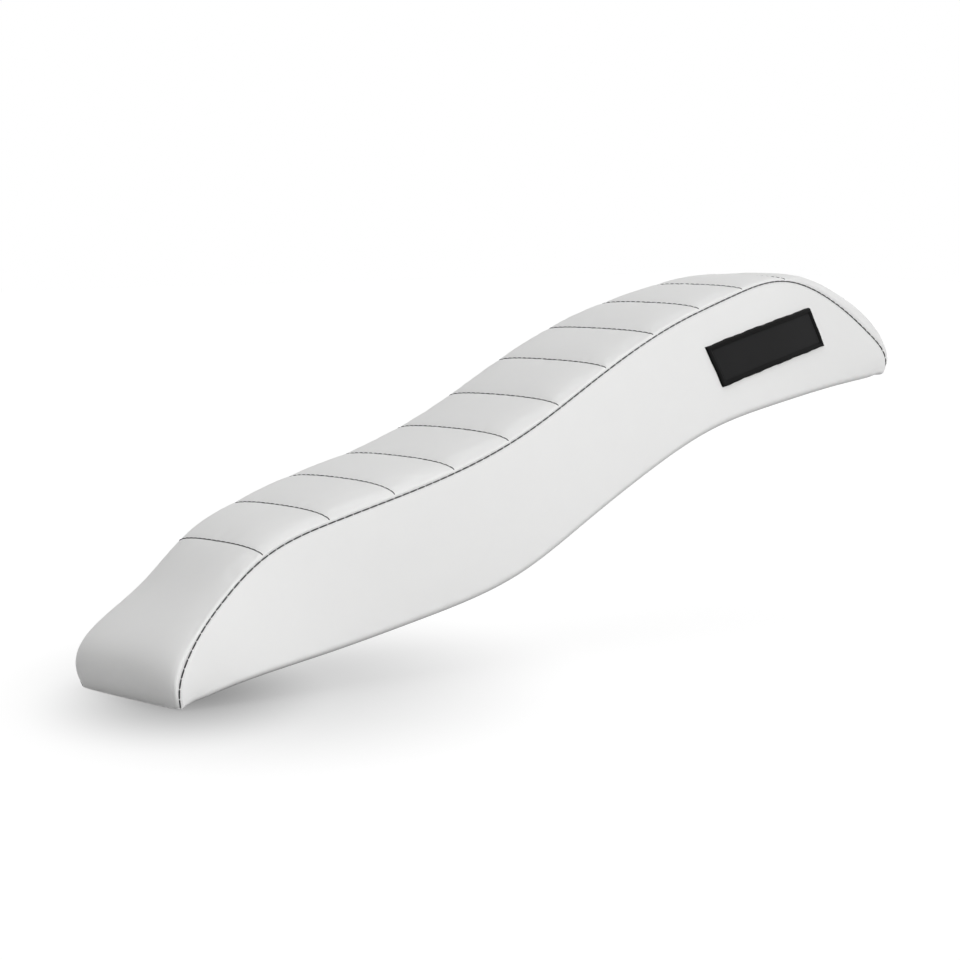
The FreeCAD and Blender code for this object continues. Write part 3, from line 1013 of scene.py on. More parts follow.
@dataclass
class TopPanel:
    """The padded strip from nose to tail, pleated by sewn rows and folded under at both ends.

    Across the seat a place a from -1 to 1 lies at half width times a, and the crown's share (1 - |a|^p)^(1/p)
    lifts it along the section's normal. Close to a seam or a sewn row the skin is drawn in by a bell of the
    distance, depth exp(-(d / reach)^2), and it stands up a little over the folded seam allowance.
    """

    form: SeatForm
    columns: int = 73
    edge_power: float = 2.4
    nose_rows: int = 64
    pleat_rows: int = 34
    tail_rows: int = 84
    row_evenness: float = 0.45
    lip_rows: int = 7
    fold_rows: int = 5
    fold_length: float = 0.011
    lip_end: float = 0.0008
    least_lift: float = 0.0002
    fold_inset: float = 0.004
    fold_drop: float = 0.5
    pad: float = 0.0045
    cover: float = 0.0015
    seam_depth: float = 0.0007
    seam_reach: float = 0.0016
    seam_even: float = 0.75
    allowance: float = 0.0046
    allowance_step: float = 0.0008
    allowance_rise: float = 0.00013
    stitch_pitch: float = 0.0052
    stitch_depth: float = 0.0003
    stitch_reach: float = 0.0017
    hole_even: float = 0.6
    row_margin: float = 0.0021
    pucker_height: float = 0.00007
    pucker_length: float = 0.013
    pucker_reach: float = 0.009
    pucker_span: float = 3.0
    pucker_second: float = 0.6
    pucker_stretch: float = 1.7
    pucker_turns: tuple[float, float] = (1.9, 3.1)
    air: PressurePass = field(default_factory=PressurePass)
    air_stride: int = 2
    held_edge: float = 0.003
    held_row: float = 0.0008

    def across(self) -> Array:
        """Return the places across the seat, closest together at the two seams."""
        even = np.linspace(-1.0, 1.0, self.columns)
        return np.sign(even) * (1.0 - (1.0 - np.abs(even)) ** self.edge_power)

    def rows(self) -> Array:
        """Space the rows, closest together at the pleat seams.

        Between two seams a row's share is e u + (1 - e) (1 - cos(pi u)) / 2, with evenness e.

        Returns:
            Distances along the seam line.
        """
        stops = np.concatenate([[0.0], self.form.pleats, [self.form.seam.length]])
        counts = [self.nose_rows] + [self.pleat_rows] * (self.form.pleat_seams - 1) + [self.tail_rows]
        parts = []
        for start, stop, count in zip(stops[:-1], stops[1:], counts):
            even = np.arange(count) / count
            crowded = 0.5 - 0.5 * np.cos(math.pi * even)
            share = self.row_evenness * even + (1.0 - self.row_evenness) * crowded
            parts.append(start + (stop - start) * share)
        return np.concatenate([*parts, stops[-1:]])

    def _body(self, run: Array, inset: float, drop: float) -> Array:
        """Shape the strip's plain grid.

        Args:
            run: Distances of its rows along the seam line.
            inset: How far its edges are set in.
            drop: How far its crown is lowered.

        Returns:
            Points, rows x columns x 3.
        """
        plane = self.form.sections(run)
        across = self.across()
        lift = np.maximum(self.form.crown(run) - drop, self.lip_end)[:, None]
        lift = lift * self.form.crown_share(across[None, :], run[:, None])
        half = (plane.seam_half - inset)[:, None] * across[None, :]
        return plane.seam[:, None, :] + lift[:, :, None] * plane.out[:, None, :] + half[:, :, None] * ACROSS

    def _fold(self, at_tail: bool, inset: float, drop: float) -> Array:
        """Shape one end's rounded lip and its fold under the pan.

        The lip turns by a share from the section's normal to straight down, while its height goes from the
        padding's at that end to the fold's. The fold then follows the hem line.

        Args:
            at_tail: Whether the end is the tail.
            inset: How far its edges are set in.
            drop: How far the lining lies below the skin.

        Returns:
            Points, rows x columns x 3.
        """
        hem = self.form.hem
        end = np.array([self.form.seam.length if at_tail else 0.0])
        plane = self.form.sections(end)
        crown = self.form.padding.knots[-1 if at_tail else 0][2]
        turn = np.linspace(0.0, 1.0, self.lip_rows + 1)[1:]
        deep = np.linspace(0.0, self.fold_length, self.fold_rows + 1)[1:]
        run = np.concatenate([np.zeros(self.lip_rows), deep])
        base, travel = hem.at(hem.length - run if at_tail else run)
        share = np.concatenate([turn, np.ones(self.fold_rows)])[:, None]
        facing = unit((1.0 - share) * plane.out - share * up_from(travel))
        reach = crown + (self.lip_end - crown) * share - drop * self.fold_drop
        across = self.across()
        lift = np.maximum(reach, self.least_lift) * self.form.crown_share(across, end)[None, :]
        half = (base[:, 1] - inset - self.fold_inset * share[:, 0])[:, None] * across[None, :]
        return (base * FLAT)[:, None, :] + lift[:, :, None] * facing[:, None, :] + half[:, :, None] * ACROSS

    def seam_draw(self, run: Array, distance: Array) -> Array:
        """Return how deep the skin is drawn in beside a long seam, deepest at each stitch.

        Args:
            run: Distances of the rows along the seam line.
            distance: Distances from the seam, rows x columns.

        Returns:
            Depths, rows x columns: a bell of the distance, times a wave of the stitches' pitch.
        """
        stitch = 0.5 + 0.5 * np.cos(math.tau * run / self.stitch_pitch)[:, None]
        depth = self.seam_depth * (self.seam_even + (1.0 - self.seam_even) * stitch)
        return depth * bell(distance, self.seam_reach)

    def _detail(self, grid: Array, run: Array) -> Array:
        """Return how far the seams, rows and puckers move each point of the strip out along its normal.

        A pucker is two sine waves along a row, times g exp(1 - g) of its distance g from the row in reaches.

        Args:
            grid: The strip's plain grid.
            run: Distances of its rows along the seam line.

        Returns:
            Moves, rows x columns.
        """
        walked = distances(grid)
        edge = np.minimum(walked, walked[:, -1:] - walked)
        gap, number = (values[:, None] for values in self.form.pleat_gap(run))
        step = 1.0 - ease(edge, self.allowance - self.allowance_step, self.allowance + self.allowance_step)
        allowance = self.allowance_rise * step * (1.0 - bell(edge, self.seam_reach))
        sewn = ease(edge, self.row_margin - self.stitch_reach, self.row_margin)
        hole = np.cos(math.tau * (edge - self.row_margin) / self.stitch_pitch)
        hole = self.hole_even + (1.0 - self.hole_even) * hole
        row = self.stitch_depth * sewn * hole * bell(gap, self.stitch_reach)
        first, second = self.pucker_turns
        longer = self.pucker_stretch * self.pucker_length
        wave = np.sin(math.tau * walked / self.pucker_length + first * number)
        wave = wave + self.pucker_second * np.sin(math.tau * walked / longer + second * number)
        near = gap / self.pucker_reach
        fade = near * np.exp(1.0 - near) * ease(self.pucker_span - near, 0.0, 1.0)
        pucker = self.pucker_height * sewn * wave * fade
        return allowance + pucker - row - self.seam_draw(run, edge)

    def _swell(self, grid: Array, run: Array) -> Array:
        """Return how far air moves each point of the strip out, by a simulation of every few points.

        Args:
            grid: The strip's plain grid.
            run: Distances of its rows along the seam line.

        Returns:
            Moves, rows x columns, read between the simulated points in proportion.
        """
        stride = self.air_stride
        coarse = grid[::stride, ::stride]
        gap, _ = self.form.pleat_gap(run[::stride])
        edge = np.linalg.norm(coarse - coarse[:, :1], axis=2)
        edge = np.minimum(edge, np.linalg.norm(coarse - coarse[:, -1:], axis=2))
        held = (edge < self.held_edge) | (gap < self.held_row)[:, None]
        held[[0, -1]] = True
        moves = self.air.moves(coarse, held)
        return between(run, stride) @ moves @ between(self.across(), stride).T

    def skin(self) -> Array:
        """Shape the outer grid.

        Returns:
            Points from the nose's fold to the tail's, rows x columns x 3.
        """
        run = self.rows()
        body = self._body(run, 0.0, 0.0)
        body = body + grid_normals(body) * (self._detail(body, run) + self._swell(body, run))[:, :, None]
        nose = self._fold(False, 0.0, 0.0)[::-1]
        return np.concatenate([nose, body, self._fold(True, 0.0, 0.0)])

    def lining(self) -> Array:
        """Shape the inner grid, below the padding.

        Returns:
            Points of the same shape as the skin's.
        """
        body = self._body(self.rows(), self.cover, self.pad)
        nose = self._fold(False, self.cover, self.cover)[::-1]
        return np.concatenate([nose, body, self._fold(True, self.cover, self.cover)])

    def build(self, material: Material) -> Piece:
        """Make the strip.

        Args:
            material: Its finish.

        Returns:
            The finished piece.
        """
        skin = self.form.placed(self.skin())
        surface = Surface.shell("pleated_top_panel", skin, self.form.placed(self.lining()))
        piece = surface.to_object(material, Slot.VINYL, ["top_panel"])
        return piece


@dataclass
class SidePanel:
    """One flared wall of the cover, rolled round the pan's rim into a skirt.

    Up from the hem by a share q the half width is hem + (seam - hem) q + 4 bulge q (1 - q). The roll is the
    quadratic curve (1 - t)^2 P + 2 t (1 - t) C + t^2 Q between the skirt and the wall. The edge is doubled
    there, so its outer skin hangs a little below the hem line.
    """

    form: SeatForm
    top: TopPanel
    hand: Hand
    skirt: float = 0.014
    skirt_share: float = 0.5
    cover: float = 0.0015
    roll: float = 0.0055
    roll_share: float = 0.35
    skirt_columns: int = 6
    roll_columns: int = 9
    wall_columns: int = 36
    top_power: float = 1.8
    pull_height: float = 0.00018
    pull_pitch: float = 0.026
    pull_reach: float = 0.012
    # Painted shade along the roll: where it rises and falls across the roll, and how much of it fades towards
    # the tail.
    shade_start: tuple[float, float] = (0.0, 0.25)
    shade_stop: tuple[float, float] = (0.3, 1.05)
    shade_fade: float = 0.4
    fade_end: float = 0.35

    def _shade(self, run: Array) -> Array:
        """Return the mark of the painted shade along the roll, a soft dark line which is strongest at the
        nose.

        Args:
            run: Distances of the rows along the seam line.

        Returns:
            Marks from 0 to 1, rows x columns.
        """
        t = np.linspace(0.0, 1.0, self.roll_columns + 1)[:-1]
        roll = ease(t, *self.shade_start) * (1.0 - ease(t, *self.shade_stop))
        columns = np.concatenate([np.zeros(self.skirt_columns), roll, np.zeros(self.wall_columns)])
        return (1.0 - self.shade_fade * ease(run, 0.0, self.fade_end))[:, None] * columns[None, :]

    def _profile(self, plane: Sections, run: Array, inset: float) -> Array:
        """Shape one skin of the panel: its skirt, its roll and its wall, from the skirt's edge to the seam.

        Args:
            plane: Cross-sections, one a row.
            run: Distances of the rows along the seam line.
            inset: How far the skin lies inside the outer face, 0 for the outer face itself.

        Returns:
            Points, rows x columns x 3.
        """
        height = plane.height[:, None]
        roll = np.minimum(self.roll, self.roll_share * height)
        inset = np.minimum(inset, roll / 2.0)
        base = np.where(inset > 0.0, inset, -self.form.hang(plane)[:, None])
        skirt = np.minimum(self.skirt, plane.hem_half[:, None] * self.skirt_share)
        foot = self.form.side_half(plane, base / height) - inset
        start = foot - roll
        turned = self.form.side_half(plane, (base + roll) / height) - inset
        inward = np.linspace(0.0, 1.0, self.skirt_columns + 1)[None, :-1]
        skirt_half = (foot - skirt) + (start - foot + skirt) * inward
        skirt_height = inset + (base - inset) * inward
        t = np.linspace(0.0, 1.0, self.roll_columns + 1)[None, :-1]
        roll_half = (1.0 - t) ** 2 * start + 2.0 * t * (1.0 - t) * foot + t * t * turned
        roll_height = base + t * t * roll
        climb = 1.0 - (1.0 - np.linspace(0.0, 1.0, self.wall_columns)[None, :]) ** self.top_power
        wall_height = base + roll + (height - base - roll) * climb
        wall_half = self.form.side_half(plane, wall_height / height) - inset
        below = height - wall_height
        pull = np.cos(math.tau * run / self.pull_pitch)[:, None] * np.exp(-wall_height / self.pull_reach)
        pull = self.pull_height * pull * (1.0 - bell(below, self.pull_reach))
        wall_half = wall_half - self.top.seam_draw(run, below) + pull
        half = np.concatenate([skirt_half, roll_half, wall_half], axis=1)
        rise = np.concatenate([skirt_height, roll_height, wall_height], axis=1)
        lifted = plane.low[:, None, :] + rise[:, :, None] * plane.up[:, None, :]
        return lifted + self.hand.value * half[:, :, None] * ACROSS

    def build(self, material: Material) -> Piece:
        """Make the panel, a sheet stretched over the foam and the pan.

        Args:
            material: Its finish.

        Returns:
            The finished piece.
        """
        run = self.top.rows()
        plane = self.form.sections(run)
        outer = self.form.placed(self._profile(plane, run, 0.0))
        inner = self.form.placed(self._profile(plane, run, self.cover))
        shade = self._shade(run)
        if self.hand is Hand.RIGHT:
            outer, inner, shade = outer[::-1], inner[::-1], shade[::-1]
        surface = Surface.shell(f"{self.hand.word}_side_cover", outer, inner)
        # The border mark carries the painted shade along the roll, on the outer skin only.
        surface.marks["border"] = np.stack([shade, 0.0 * shade])
        piece = surface.to_object(material, Slot.VINYL, [f"{self.hand.word}_side_panel"])
        return piece


@dataclass
class StitchRow:
    """Equal lengths of thread or wire along a path, each dipping into the work at both ends.

    Along one stitch a share t runs from 0 to 1. With s = sin(pi t), its middle stands at
    lift sqrt(s) - dip (1 - s)^2 over the path, and its radius is full over the middle and closes at the ends
    as the square root of taper s.
    """

    name: str
    path: Array
    facing: Array
    radius: float
    length: float
    pitch: float
    lift: float
    dip: float
    slot: Slot
    nodes: list[str]
    rings: int = 7
    sides: int = 6
    fewest: int = 2
    end_share: float = 0.02
    end_girth: float = 0.02
    taper: float = 4.0

    def build(self, material: Material) -> Piece:
        """Make the row as one piece.

        Args:
            material: Its finish.

        Returns:
            The finished piece.
        """
        walked = distances(self.path)
        count = max(self.fewest, int(np.rint((walked[-1] - self.length) / self.pitch)) + 1)
        starts = np.linspace(0.0, walked[-1] - self.length, count)
        t = 0.5 - 0.5 * np.cos(math.pi * np.linspace(self.end_share, 1.0 - self.end_share, self.rings))
        place = starts[:, None] + self.length * t[None, :]
        middle = read_along(place, walked, self.path)
        facing = unit(read_along(place, walked, self.facing))
        travel = unit(np.gradient(middle, axis=1))
        beside = unit(np.cross(travel, facing))
        arch = np.sin(math.pi * t)
        stand = self.lift * np.sqrt(arch) - self.dip * (1.0 - arch) ** 2
        middle = middle + facing * stand[None, :, None]
        thick = self.radius * np.sqrt(np.clip(arch * self.taper, self.end_girth, 1.0))
        angle = math.tau * np.arange(self.sides) / self.sides
        ring = np.cos(angle)[:, None] * beside[:, :, None, :] + np.sin(angle)[:, None] * facing[:, :, None, :]
        points = middle[:, :, None, :] + thick[None, :, None, None] * ring
        quads = Surface.grid_quads(self.rings, self.sides, closed=True)
        size = self.rings * self.sides
        # Two faces close each six-sided end.
        caps = np.array([[0, 1, 2, 3], [3, 4, 5, 0]])
        ends = np.concatenate([caps, (size - 1) - caps])
        faces = np.concatenate([quads[:, ::-1], ends[:, ::-1]])
        faces = (np.arange(count)[:, None, None] * size + faces[None]).reshape(-1, 4)
        along = np.broadcast_to(t[None, :, None], points.shape[:3])
        around = np.broadcast_to(angle / math.tau, points.shape[:3])
        marks = {"along": along, "around": around}
        surface = Surface(self.name, points.reshape(-1, 3), faces, marks)
        return surface.to_object(material, self.slot, self.nodes)


@dataclass
class Sewing:
    """The dark rows along both seams and across every pleat."""

    form: SeatForm
    top: TopPanel
    seam_radius: float = 0.00043
    pleat_radius: float = 0.0004
    seam_pitch: float = 0.0065
    seam_share: float = 0.968
    pleat_share: float = 1.0
    lift: float = 0.00025
    dip: float = 0.0003
    path_steps: int = 900
    seam_sink: float = 0.00035
    seam_tilt: float = 0.45
    pleat_sink: float = 0.5

    def _row(self, name: str, node: str, path: Array, facing: Array, *thread: float) -> StitchRow:
        """Return one row of stitches, from the thread's radius, a stitch's length and the pitch."""
        placed = self.form.placed(path)
        return StitchRow(name, placed, facing, *thread, self.lift, self.dip, Slot.THREAD, [node])

    def seam_row(self, hand: Hand) -> StitchRow:
        """Lay the row in the join between the top panel and one side panel.

        Args:
            hand: The panel's side.

        Returns:
            The row, not yet built.
        """
        run = np.linspace(0.0, self.form.seam.length, self.path_steps)
        plane = self.form.sections(run)
        facing = unit(hand.value * ACROSS + self.seam_tilt * plane.out)
        path = plane.seam + (hand.value * plane.seam_half)[:, None] * ACROSS - facing * self.seam_sink
        name, node = f"{hand.word}_seam_stitches", f"{hand.word}_seam_thread"
        length = self.seam_share * self.seam_pitch
        return self._row(name, node, path, facing, self.seam_radius, length, self.seam_pitch)

    def pleat_row(self, number: int) -> StitchRow:
        """Lay the row sewn across the seat at one pleat, a little way in from both seams.

        Args:
            number: The pleat's number, from 0 at the nose.

        Returns:
            The row, not yet built.
        """
        run = np.array([self.form.pleats[number]])
        plane = self.form.sections(run)
        across = bunched(self.path_steps)
        lift = self.form.crown(run) * self.form.crown_share(across, run)
        path = plane.seam + lift[:, None] * plane.out + (across * plane.seam_half)[:, None] * ACROSS
        facing = unit(np.cross(plane.travel, np.gradient(path, axis=0)))
        facing *= np.sign(facing @ plane.out[0])[:, None]
        walked = distances(path)
        margin = self.top.row_margin
        kept = (walked > margin) & (walked < walked[-1] - margin)
        path = path - facing * self.top.stitch_depth * self.pleat_sink
        name, node = f"pleat_stitches_{number + 1:02d}", f"pleat_thread_{number + 1:02d}"
        pitch = self.top.stitch_pitch
        thread = (self.pleat_radius, self.pleat_share * pitch, pitch)
        return self._row(name, node, path[kept], facing[kept], *thread)

    def build(self, material: Material) -> list[Piece]:
        """Make every row.

        Args:
            material: The thread's finish.

        Returns:
            The finished pieces.
        """
        rows = [self.seam_row(hand) for hand in Hand]
        rows += [self.pleat_row(number) for number in range(self.form.pleat_seams)]
        return [row.build(material) for row in rows]


@dataclass
class Staples:
    """The wire staples that hold both skirts to the pan's rim."""

    form: SeatForm
    width: float = 0.010
    radius: float = 0.00045
    inset: float = 0.008
    pitch: float = 0.026
    leg: float = 0.00135
    free_pitches: float = 4.0
    skirt_share: float = 0.7
    path_steps: int = 600

    def build(self, material: Material) -> list[Piece]:
        """Make a row under each skirt, at an even pitch along the hem line with both ends left free.

        Args:
            material: The wire's finish.

        Returns:
            The finished pieces.
        """
        hem = self.form.hem
        ends = self.free_pitches / 2.0 * self.pitch - self.width / 2.0
        usable = hem.length - self.free_pitches * self.pitch
        pitch = usable / int(usable // self.pitch)
        run = np.linspace(ends, hem.length - ends, self.path_steps)
        point, travel = hem.at(run)
        down = -up_from(travel)
        plane = self.form.sections(run / hem.length * self.form.seam.length)
        sunk = point * FLAT + (self.skirt_share * self.form.hang(plane))[:, None] * down
        rows = []
        for hand in Hand:
            path = self.form.placed(sunk + (hand.value * (point[:, 1] - self.inset))[:, None] * ACROSS)
            wire = (self.radius, self.width, pitch, self.radius, self.leg)
            row = StitchRow(f"staples_{hand.word}", path, down, *wire, Slot.STAPLE, ["cover_staples"])
            rows.append(row.build(material))
        return rows


@dataclass
class SidePatch:
    """The dark patch on the left side, bare, with a rolled border.

    With d the distance from the outline, the skin stands at thickness sqrt(1 - (1 - d / edge)^2) at the edge,
    plus a roll rise sqrt(1 - ((d - w) / w)^2) of half width w, less a fine groove just inside the roll. With
    the seat's back the patch arches up a little, by bow (1 - (2 a / length)^2) at a place a along it.
    """

    form: SeatForm
    length: float = 0.1253
    width: float = 0.0305
    run: float = 0.5994
    drop: float = 0.0445
    turn: float = math.radians(1.9)
    lean: float = math.radians(12.2)
    bow: float = 0.0012
    thickness: float = 0.0014
    edge: float = 0.0007
    roll: float = 0.0017
    roll_rise: float = 0.0010
    groove: float = 0.0003
    groove_reach: float = 0.0005
    columns: int = 150
    rows: int = 56
    wave_height: float = 0.00016
    wave_second: float = 0.6
    wave_lengths: tuple[float, float, float] = (0.031, 0.012, 0.017)
    wave_reach: float = 0.004
    sections: int = 1500

    def _side_half(self, points: Array) -> Array:
        """Find the half width of the side at places seen from the side.

        Each place lies between two sections of the seat, at a share of the height from hem to seam.

        Args:
            points: Places, n x 3.

        Returns:
            Half widths.
        """
        plane = self.form.sections(np.linspace(0.0, self.form.seam.length, self.sections))
        rise = points[:, None, :] - plane.low[None, :, :]
        miss = rise[:, :, 0] * plane.up[None, :, 2] - rise[:, :, 2] * plane.up[None, :, 0]
        before = np.argmax((miss[:, :-1] > 0.0) & (miss[:, 1:] <= 0.0), axis=1)
        row = np.arange(len(points))
        place = before + miss[row, before] / (miss[row, before] - miss[row, before + 1])
        places = np.arange(self.sections)
        low = read_along(place, places, plane.low)
        sizes = np.stack([plane.height, plane.seam_half, plane.hem_half], axis=1)
        height, seam_half, hem_half = read_along(place, places, sizes).T
        share = np.linalg.norm((points - low) * FLAT, axis=1) / height
        return self.form.flared(seam_half, hem_half, share)

    def _skins(self) -> tuple[Array, Array, Array]:
        """Shape the patch on the side's outer face.

        Returns:
            Its outer and inner grids, and how much each point belongs to the border.
        """
        plane = self.form.sections(np.array([self.run]))
        along = plane.travel[0] * math.cos(self.turn) + plane.out[0] * math.sin(self.turn)
        down = plane.travel[0] * math.sin(self.lean) - plane.out[0] * math.cos(self.lean)
        centre = plane.low[0] + plane.up[0] * (plane.height[0] - self.drop)
        across = self.length / 2.0 * bunched(self.columns)[:, None]
        deep = self.width / 2.0 * bunched(self.rows)[None, :]
        across, deep = np.broadcast_arrays(across, deep)
        long, short, side = (math.tau / length for length in self.wave_lengths)
        wave = np.sin(across * long) + self.wave_second * np.sin(across * short) + np.sin(deep * side)
        gap = np.minimum(self.length / 2.0 - np.abs(across), self.width / 2.0 - np.abs(deep))
        gap = np.maximum(gap, 0.0)
        sunk = deep - self.bow * (1.0 - (2.0 * across / self.length) ** 2)
        flat = centre + across[:, :, None] * along + sunk[:, :, None] * down
        wave = self.wave_height * wave * (1.0 - ease(gap, 0.0, self.wave_reach))
        flat = flat + wave[:, :, None] * (down + along)
        half = self._side_half(flat.reshape(-1, 3)).reshape(across.shape)
        rounded = np.sqrt(1.0 - (1.0 - np.clip(gap / self.edge, 0.0, 1.0)) ** 2)
        roll = np.sqrt(np.maximum(0.0, 1.0 - ((gap - self.roll) / self.roll) ** 2))
        foot = 2.0 * self.roll
        groove = bell(gap - foot - self.groove_reach, self.groove_reach)
        stand = self.thickness * rounded + self.roll_rise * roll - self.groove * groove
        outer = flat - (half + stand)[:, :, None] * ACROSS
        # The border mark darkens the rolled border and the groove inside it; in the groove that is painted
        # shade.
        border = 1.0 - ease(gap, foot, foot + 2.0 * self.groove_reach)
        return outer, flat - half[:, :, None] * ACROSS, border

    def build(self, material: Material) -> Piece:
        """Make the patch.

        Args:
            material: Its finish.

        Returns:
            The finished piece.
        """
        outer, inner, border = self._skins()
        surface = Surface.shell("bare_side_patch", self.form.placed(outer), self.form.placed(inner))
        surface.marks["border"] = np.stack([border, border])
        return surface.to_object(material, Slot.PATCH, ["side_patch"])


@dataclass
class Underside:
    """The CAD nodes that stay as they are: pan, foam, inserts and buffers."""

    nodes: dict[str, Piece]

    def dress(self, finishes: dict[str, tuple[Material, Slot]]) -> list[Piece]:
        """Give each node the finish whose word its name holds.

        Args:
            finishes: Material and slot for each word.

        Returns:
            The dressed nodes.
        """
        dressed = []
        for name, node in self.nodes.items():
            for word, (material, slot) in finishes.items():
                if word in name:
                    node.data.materials.clear()
                    node.data.materials.append(material)
                    dressed.append(node)
        return dressed


@dataclass(frozen=True)
class Lamp:
    """A soft distant lamp: its strength, where it shines from and how wide it is."""

    name: str
    strength: float
    source: Point
    spread: float


LAMP_SPREAD = math.radians(70.0)
LAMPS = (
    Lamp("side_light", 2.60, (0.0, -0.95, 0.12), LAMP_SPREAD),
    Lamp("front_light", 0.545, (-0.7, -0.6, 0.4), LAMP_SPREAD),
    Lamp("top_light", 1.255, (0.0, 0.0, 1.0), LAMP_SPREAD),
    Lamp("far_light", 0.26, (0.0, 0.8, 0.6), LAMP_SPREAD),
)


@dataclass(frozen=True)
class Shade:
    """A soft oval of painted shadow that the camera sees on the floor, taken off the floor's glow; no lamp
    throws it.

    Its middle is measured from the foot of the nose, and its reach to the camera's right and away from it.
    """

    middle: tuple[float, float]
    reach: tuple[float, float]
    depth: float


# Painted shadow on the floor round the nose, in two ovals.
SHADES = (
    Shade((0.103, -0.017), (0.218, 0.361), 0.34),
    Shade((0.024, -0.018), (0.100, 0.192), 0.39),
)


@dataclass
class Studio:
    """The camera, the pale floor and the soft light of the photograph."""

    form: SeatForm
    camera_place: Point = (-1.007555, -1.492462, 0.318158)
    camera_facing: Point = (0.652361, 0.751121, -0.101202)
    lens: float = 108.75
    clip: tuple[float, float] = (0.05, 50.0)
    floor_drop: float = 0.0012
    floor_half: float = 6.0
    floor_roughness: float = 0.9
    floor_bounce: float = 0.62
    floor_seen: float = 0.12
    floor_glow: float = 0.94
    sky: float = 0.06
    shades: tuple[Shade, ...] = SHADES
    lamps: tuple[Lamp, ...] = LAMPS

    def _camera(self) -> None:
        """Place the camera."""
        data = bpy.data.cameras.new("photo_camera")
        data.lens = self.lens
        data.clip_start, data.clip_end = self.clip
        camera = put_in_scene("photo_camera", data)
        camera.location = Vector(self.form.placed(np.array(self.camera_place)))
        camera.rotation_euler = Vector(self.camera_facing).to_track_quat("-Z", "Y").to_euler()
        bpy.context.scene.camera = camera

    def _floor(self) -> None:
        """Lay the floor under the nose; to the camera it glows a little, so that it is white, less painted
        shadow round the nose.
        """
        level = float(self.form.placed(np.zeros(3))[2]) - self.floor_drop
        half = self.floor_half
        mesh = bpy.data.meshes.new("floor")
        corners = [(-half, -half, level), (half, -half, level), (half, half, level), (-half, half, level)]
        mesh.from_pydata(corners, [], [(0, 1, 2, 3)])
        material = bpy.data.materials.new("pale_floor")
        material.use_nodes = True
        nodes = Nodes(material.node_tree)
        surface = material.node_tree.nodes["Principled BSDF"]
        nodes.preset(surface, {"Roughness": self.floor_roughness, "Specular IOR Level": 0.0})
        nodes.preset(surface, {"Emission Color": WHITE})
        seen = self._seen(nodes)
        colour = nodes.maths("MULTIPLY_ADD", seen, self.floor_seen - self.floor_bounce, self.floor_bounce)
        nodes.link(colour, surface.inputs["Base Color"])
        nodes.link(nodes.maths("MULTIPLY", seen, self._glow(nodes)), surface.inputs["Emission Strength"])
        mesh.materials.append(material)
        floor = put_in_scene("floor", mesh)

    @staticmethod
    def _seen(nodes: Nodes) -> Socket:
        """Tell the camera's rays, straight or by a clear reflection, from soft light.

        Args:
            nodes: Nodes of the material or the world.

        Returns:
            1 for the camera's rays and 0 for soft light.
        """
        path = nodes.add("ShaderNodeLightPath")
        seen = nodes.maths("MAXIMUM", path.outputs["Is Camera Ray"], path.outputs["Is Glossy Ray"])
        return nodes.maths("MAXIMUM", seen, path.outputs["Is Transmission Ray"])

    def _glow(self, nodes: Nodes) -> Socket:
        """Work out the floor's glow to the camera: white, less the soft ovals of painted shadow round the
        nose.

        Args:
            nodes: The floor's nodes.

        Returns:
            The glow's strength.
        """
        glow = self.floor_glow
        for shade in self.shades:
            glow = nodes.maths("SUBTRACT", glow, self._darkness(nodes, shade))
        return glow

    def _darkness(self, nodes: Nodes, shade: Shade) -> Socket:
        """Work out how dark an oval of painted shadow is at a place on the floor.

        With a and b the distances from its middle to the camera's right and away from it, each divided by its
        reach, the shade fades smoothly as sqrt(a a + b b) grows to 1.

        Args:
            nodes: The floor's nodes.
            shade: The oval of shade.

        Returns:
            What the shade takes off the glow.
        """
        away = unit(np.array(self.camera_facing) * np.array([1.0, 1.0, 0.0]))
        right = np.array([away[1], -away[0], 0.0])
        middle = self.form.placed(np.array([*shade.middle, 0.0]))
        place = nodes.add("ShaderNodeTexCoord")
        squares = []
        for axis, reach in zip((right, away), shade.reach):
            dot = nodes.add("ShaderNodeVectorMath", operation="DOT_PRODUCT")
            nodes.link(place.outputs["Object"], dot.inputs[0])
            dot.inputs[1].default_value = axis / reach
            offset = nodes.maths("SUBTRACT", dot.outputs["Value"], float(middle @ axis) / reach)
            squares.append(nodes.maths("MULTIPLY", offset, offset))
        fade = nodes.add("ShaderNodeMapRange", interpolation_type="SMOOTHSTEP")
        nodes.link(nodes.maths("SQRT", nodes.maths("ADD", *squares)), fade.inputs["Value"])
        nodes.preset(fade, {"To Min": shade.depth, "To Max": 0.0})
        return fade.outputs["Result"]

    def _shine(self, lamp: Lamp) -> None:
        """Add one soft distant lamp.

        Args:
            lamp: Its strength, direction and width.
        """
        data = bpy.data.lights.new(lamp.name, "SUN")
        data.energy = lamp.strength
        data.angle = lamp.spread
        sun = put_in_scene(lamp.name, data)
        sun.rotation_euler = (-Vector(lamp.source)).to_track_quat("-Z", "Y").to_euler()

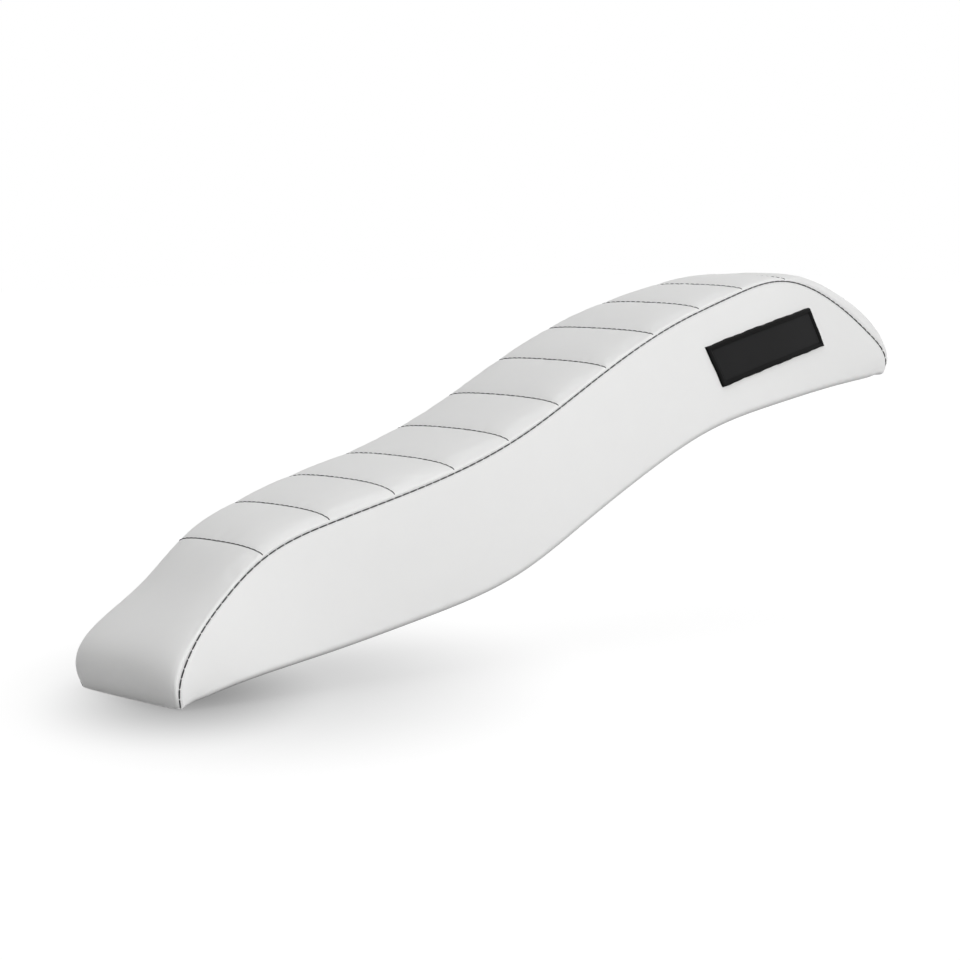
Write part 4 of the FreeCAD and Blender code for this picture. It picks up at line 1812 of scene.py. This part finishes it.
    def _world(self) -> None:
        """Light the scene from all round, with white behind the floor's edge."""
        world = bpy.data.worlds.new("studio")
        world.use_nodes = True
        nodes = Nodes(world.node_tree)
        background = world.node_tree.nodes["Background"]
        level = nodes.maths("MULTIPLY_ADD", self._seen(nodes), 1.0 - self.sky, self.sky)
        nodes.link(level, background.inputs["Strength"])
        nodes.preset(background, {"Color": WHITE})
        bpy.context.scene.world = world

    def build(self) -> None:
        """Set the camera, floor and light, and plain view settings."""
        bpy.context.scene.view_settings.view_transform = "Standard"
        self._camera()
        self._floor()
        self._world()
        for lamp in self.lamps:
            self._shine(lamp)


@dataclass
class BenchSeat:
    """The whole seat: sewn cover, patch and underside."""

    form: SeatForm
    finishes: Finishes

    def build(self, nodes: dict[str, Piece]) -> list[Piece]:
        """Build every piece around the CAD nodes.

        Args:
            nodes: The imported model's nodes by name.

        Returns:
            The built pieces and the dressed nodes.
        """
        vinyl = self.finishes.vinyl.build()
        thread = self.finishes.thread.build()
        top = TopPanel(self.form)
        pieces = [top.build(vinyl)]
        pieces += [SidePanel(self.form, top, hand).build(vinyl) for hand in Hand]
        pieces += Sewing(self.form, top).build(thread)
        pieces.append(SidePatch(self.form).build(self.finishes.patch.build()))
        pieces += Staples(self.form).build(self.finishes.steel.build())
        pieces += Underside(nodes).dress(
            {
                "base_pan": (self.finishes.plastic.build(), Slot.PAN),
                "foam_core": (self.finishes.foam.build(), Slot.FOAM),
                "insert": (self.finishes.brass.build(), Slot.INSERT),
                "buffer": (self.finishes.rubber.build(), Slot.BUFFER),
            }
        )
        return pieces


def main() -> None:
    """Load the frame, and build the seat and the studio."""
    logging.basicConfig(level=logging.INFO, format="%(name)s: %(message)s")
    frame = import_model()
    form = SeatForm(SmoothLine(SEAM_POINTS), SmoothLine(HEM_POINTS), SmoothLine(PADDING_POINTS))
    logger.info("seam line %.1f mm, origin %s", form.seam.length * 1000.0, np.round(form.shift, 5))
    for piece in BenchSeat(form, Finishes()).build(frame["nodes"]):
        logger.info("%s: %d faces", piece.name, len(piece.data.polygons))
    Studio(form).build()


if __name__ == "__main__":
    main()
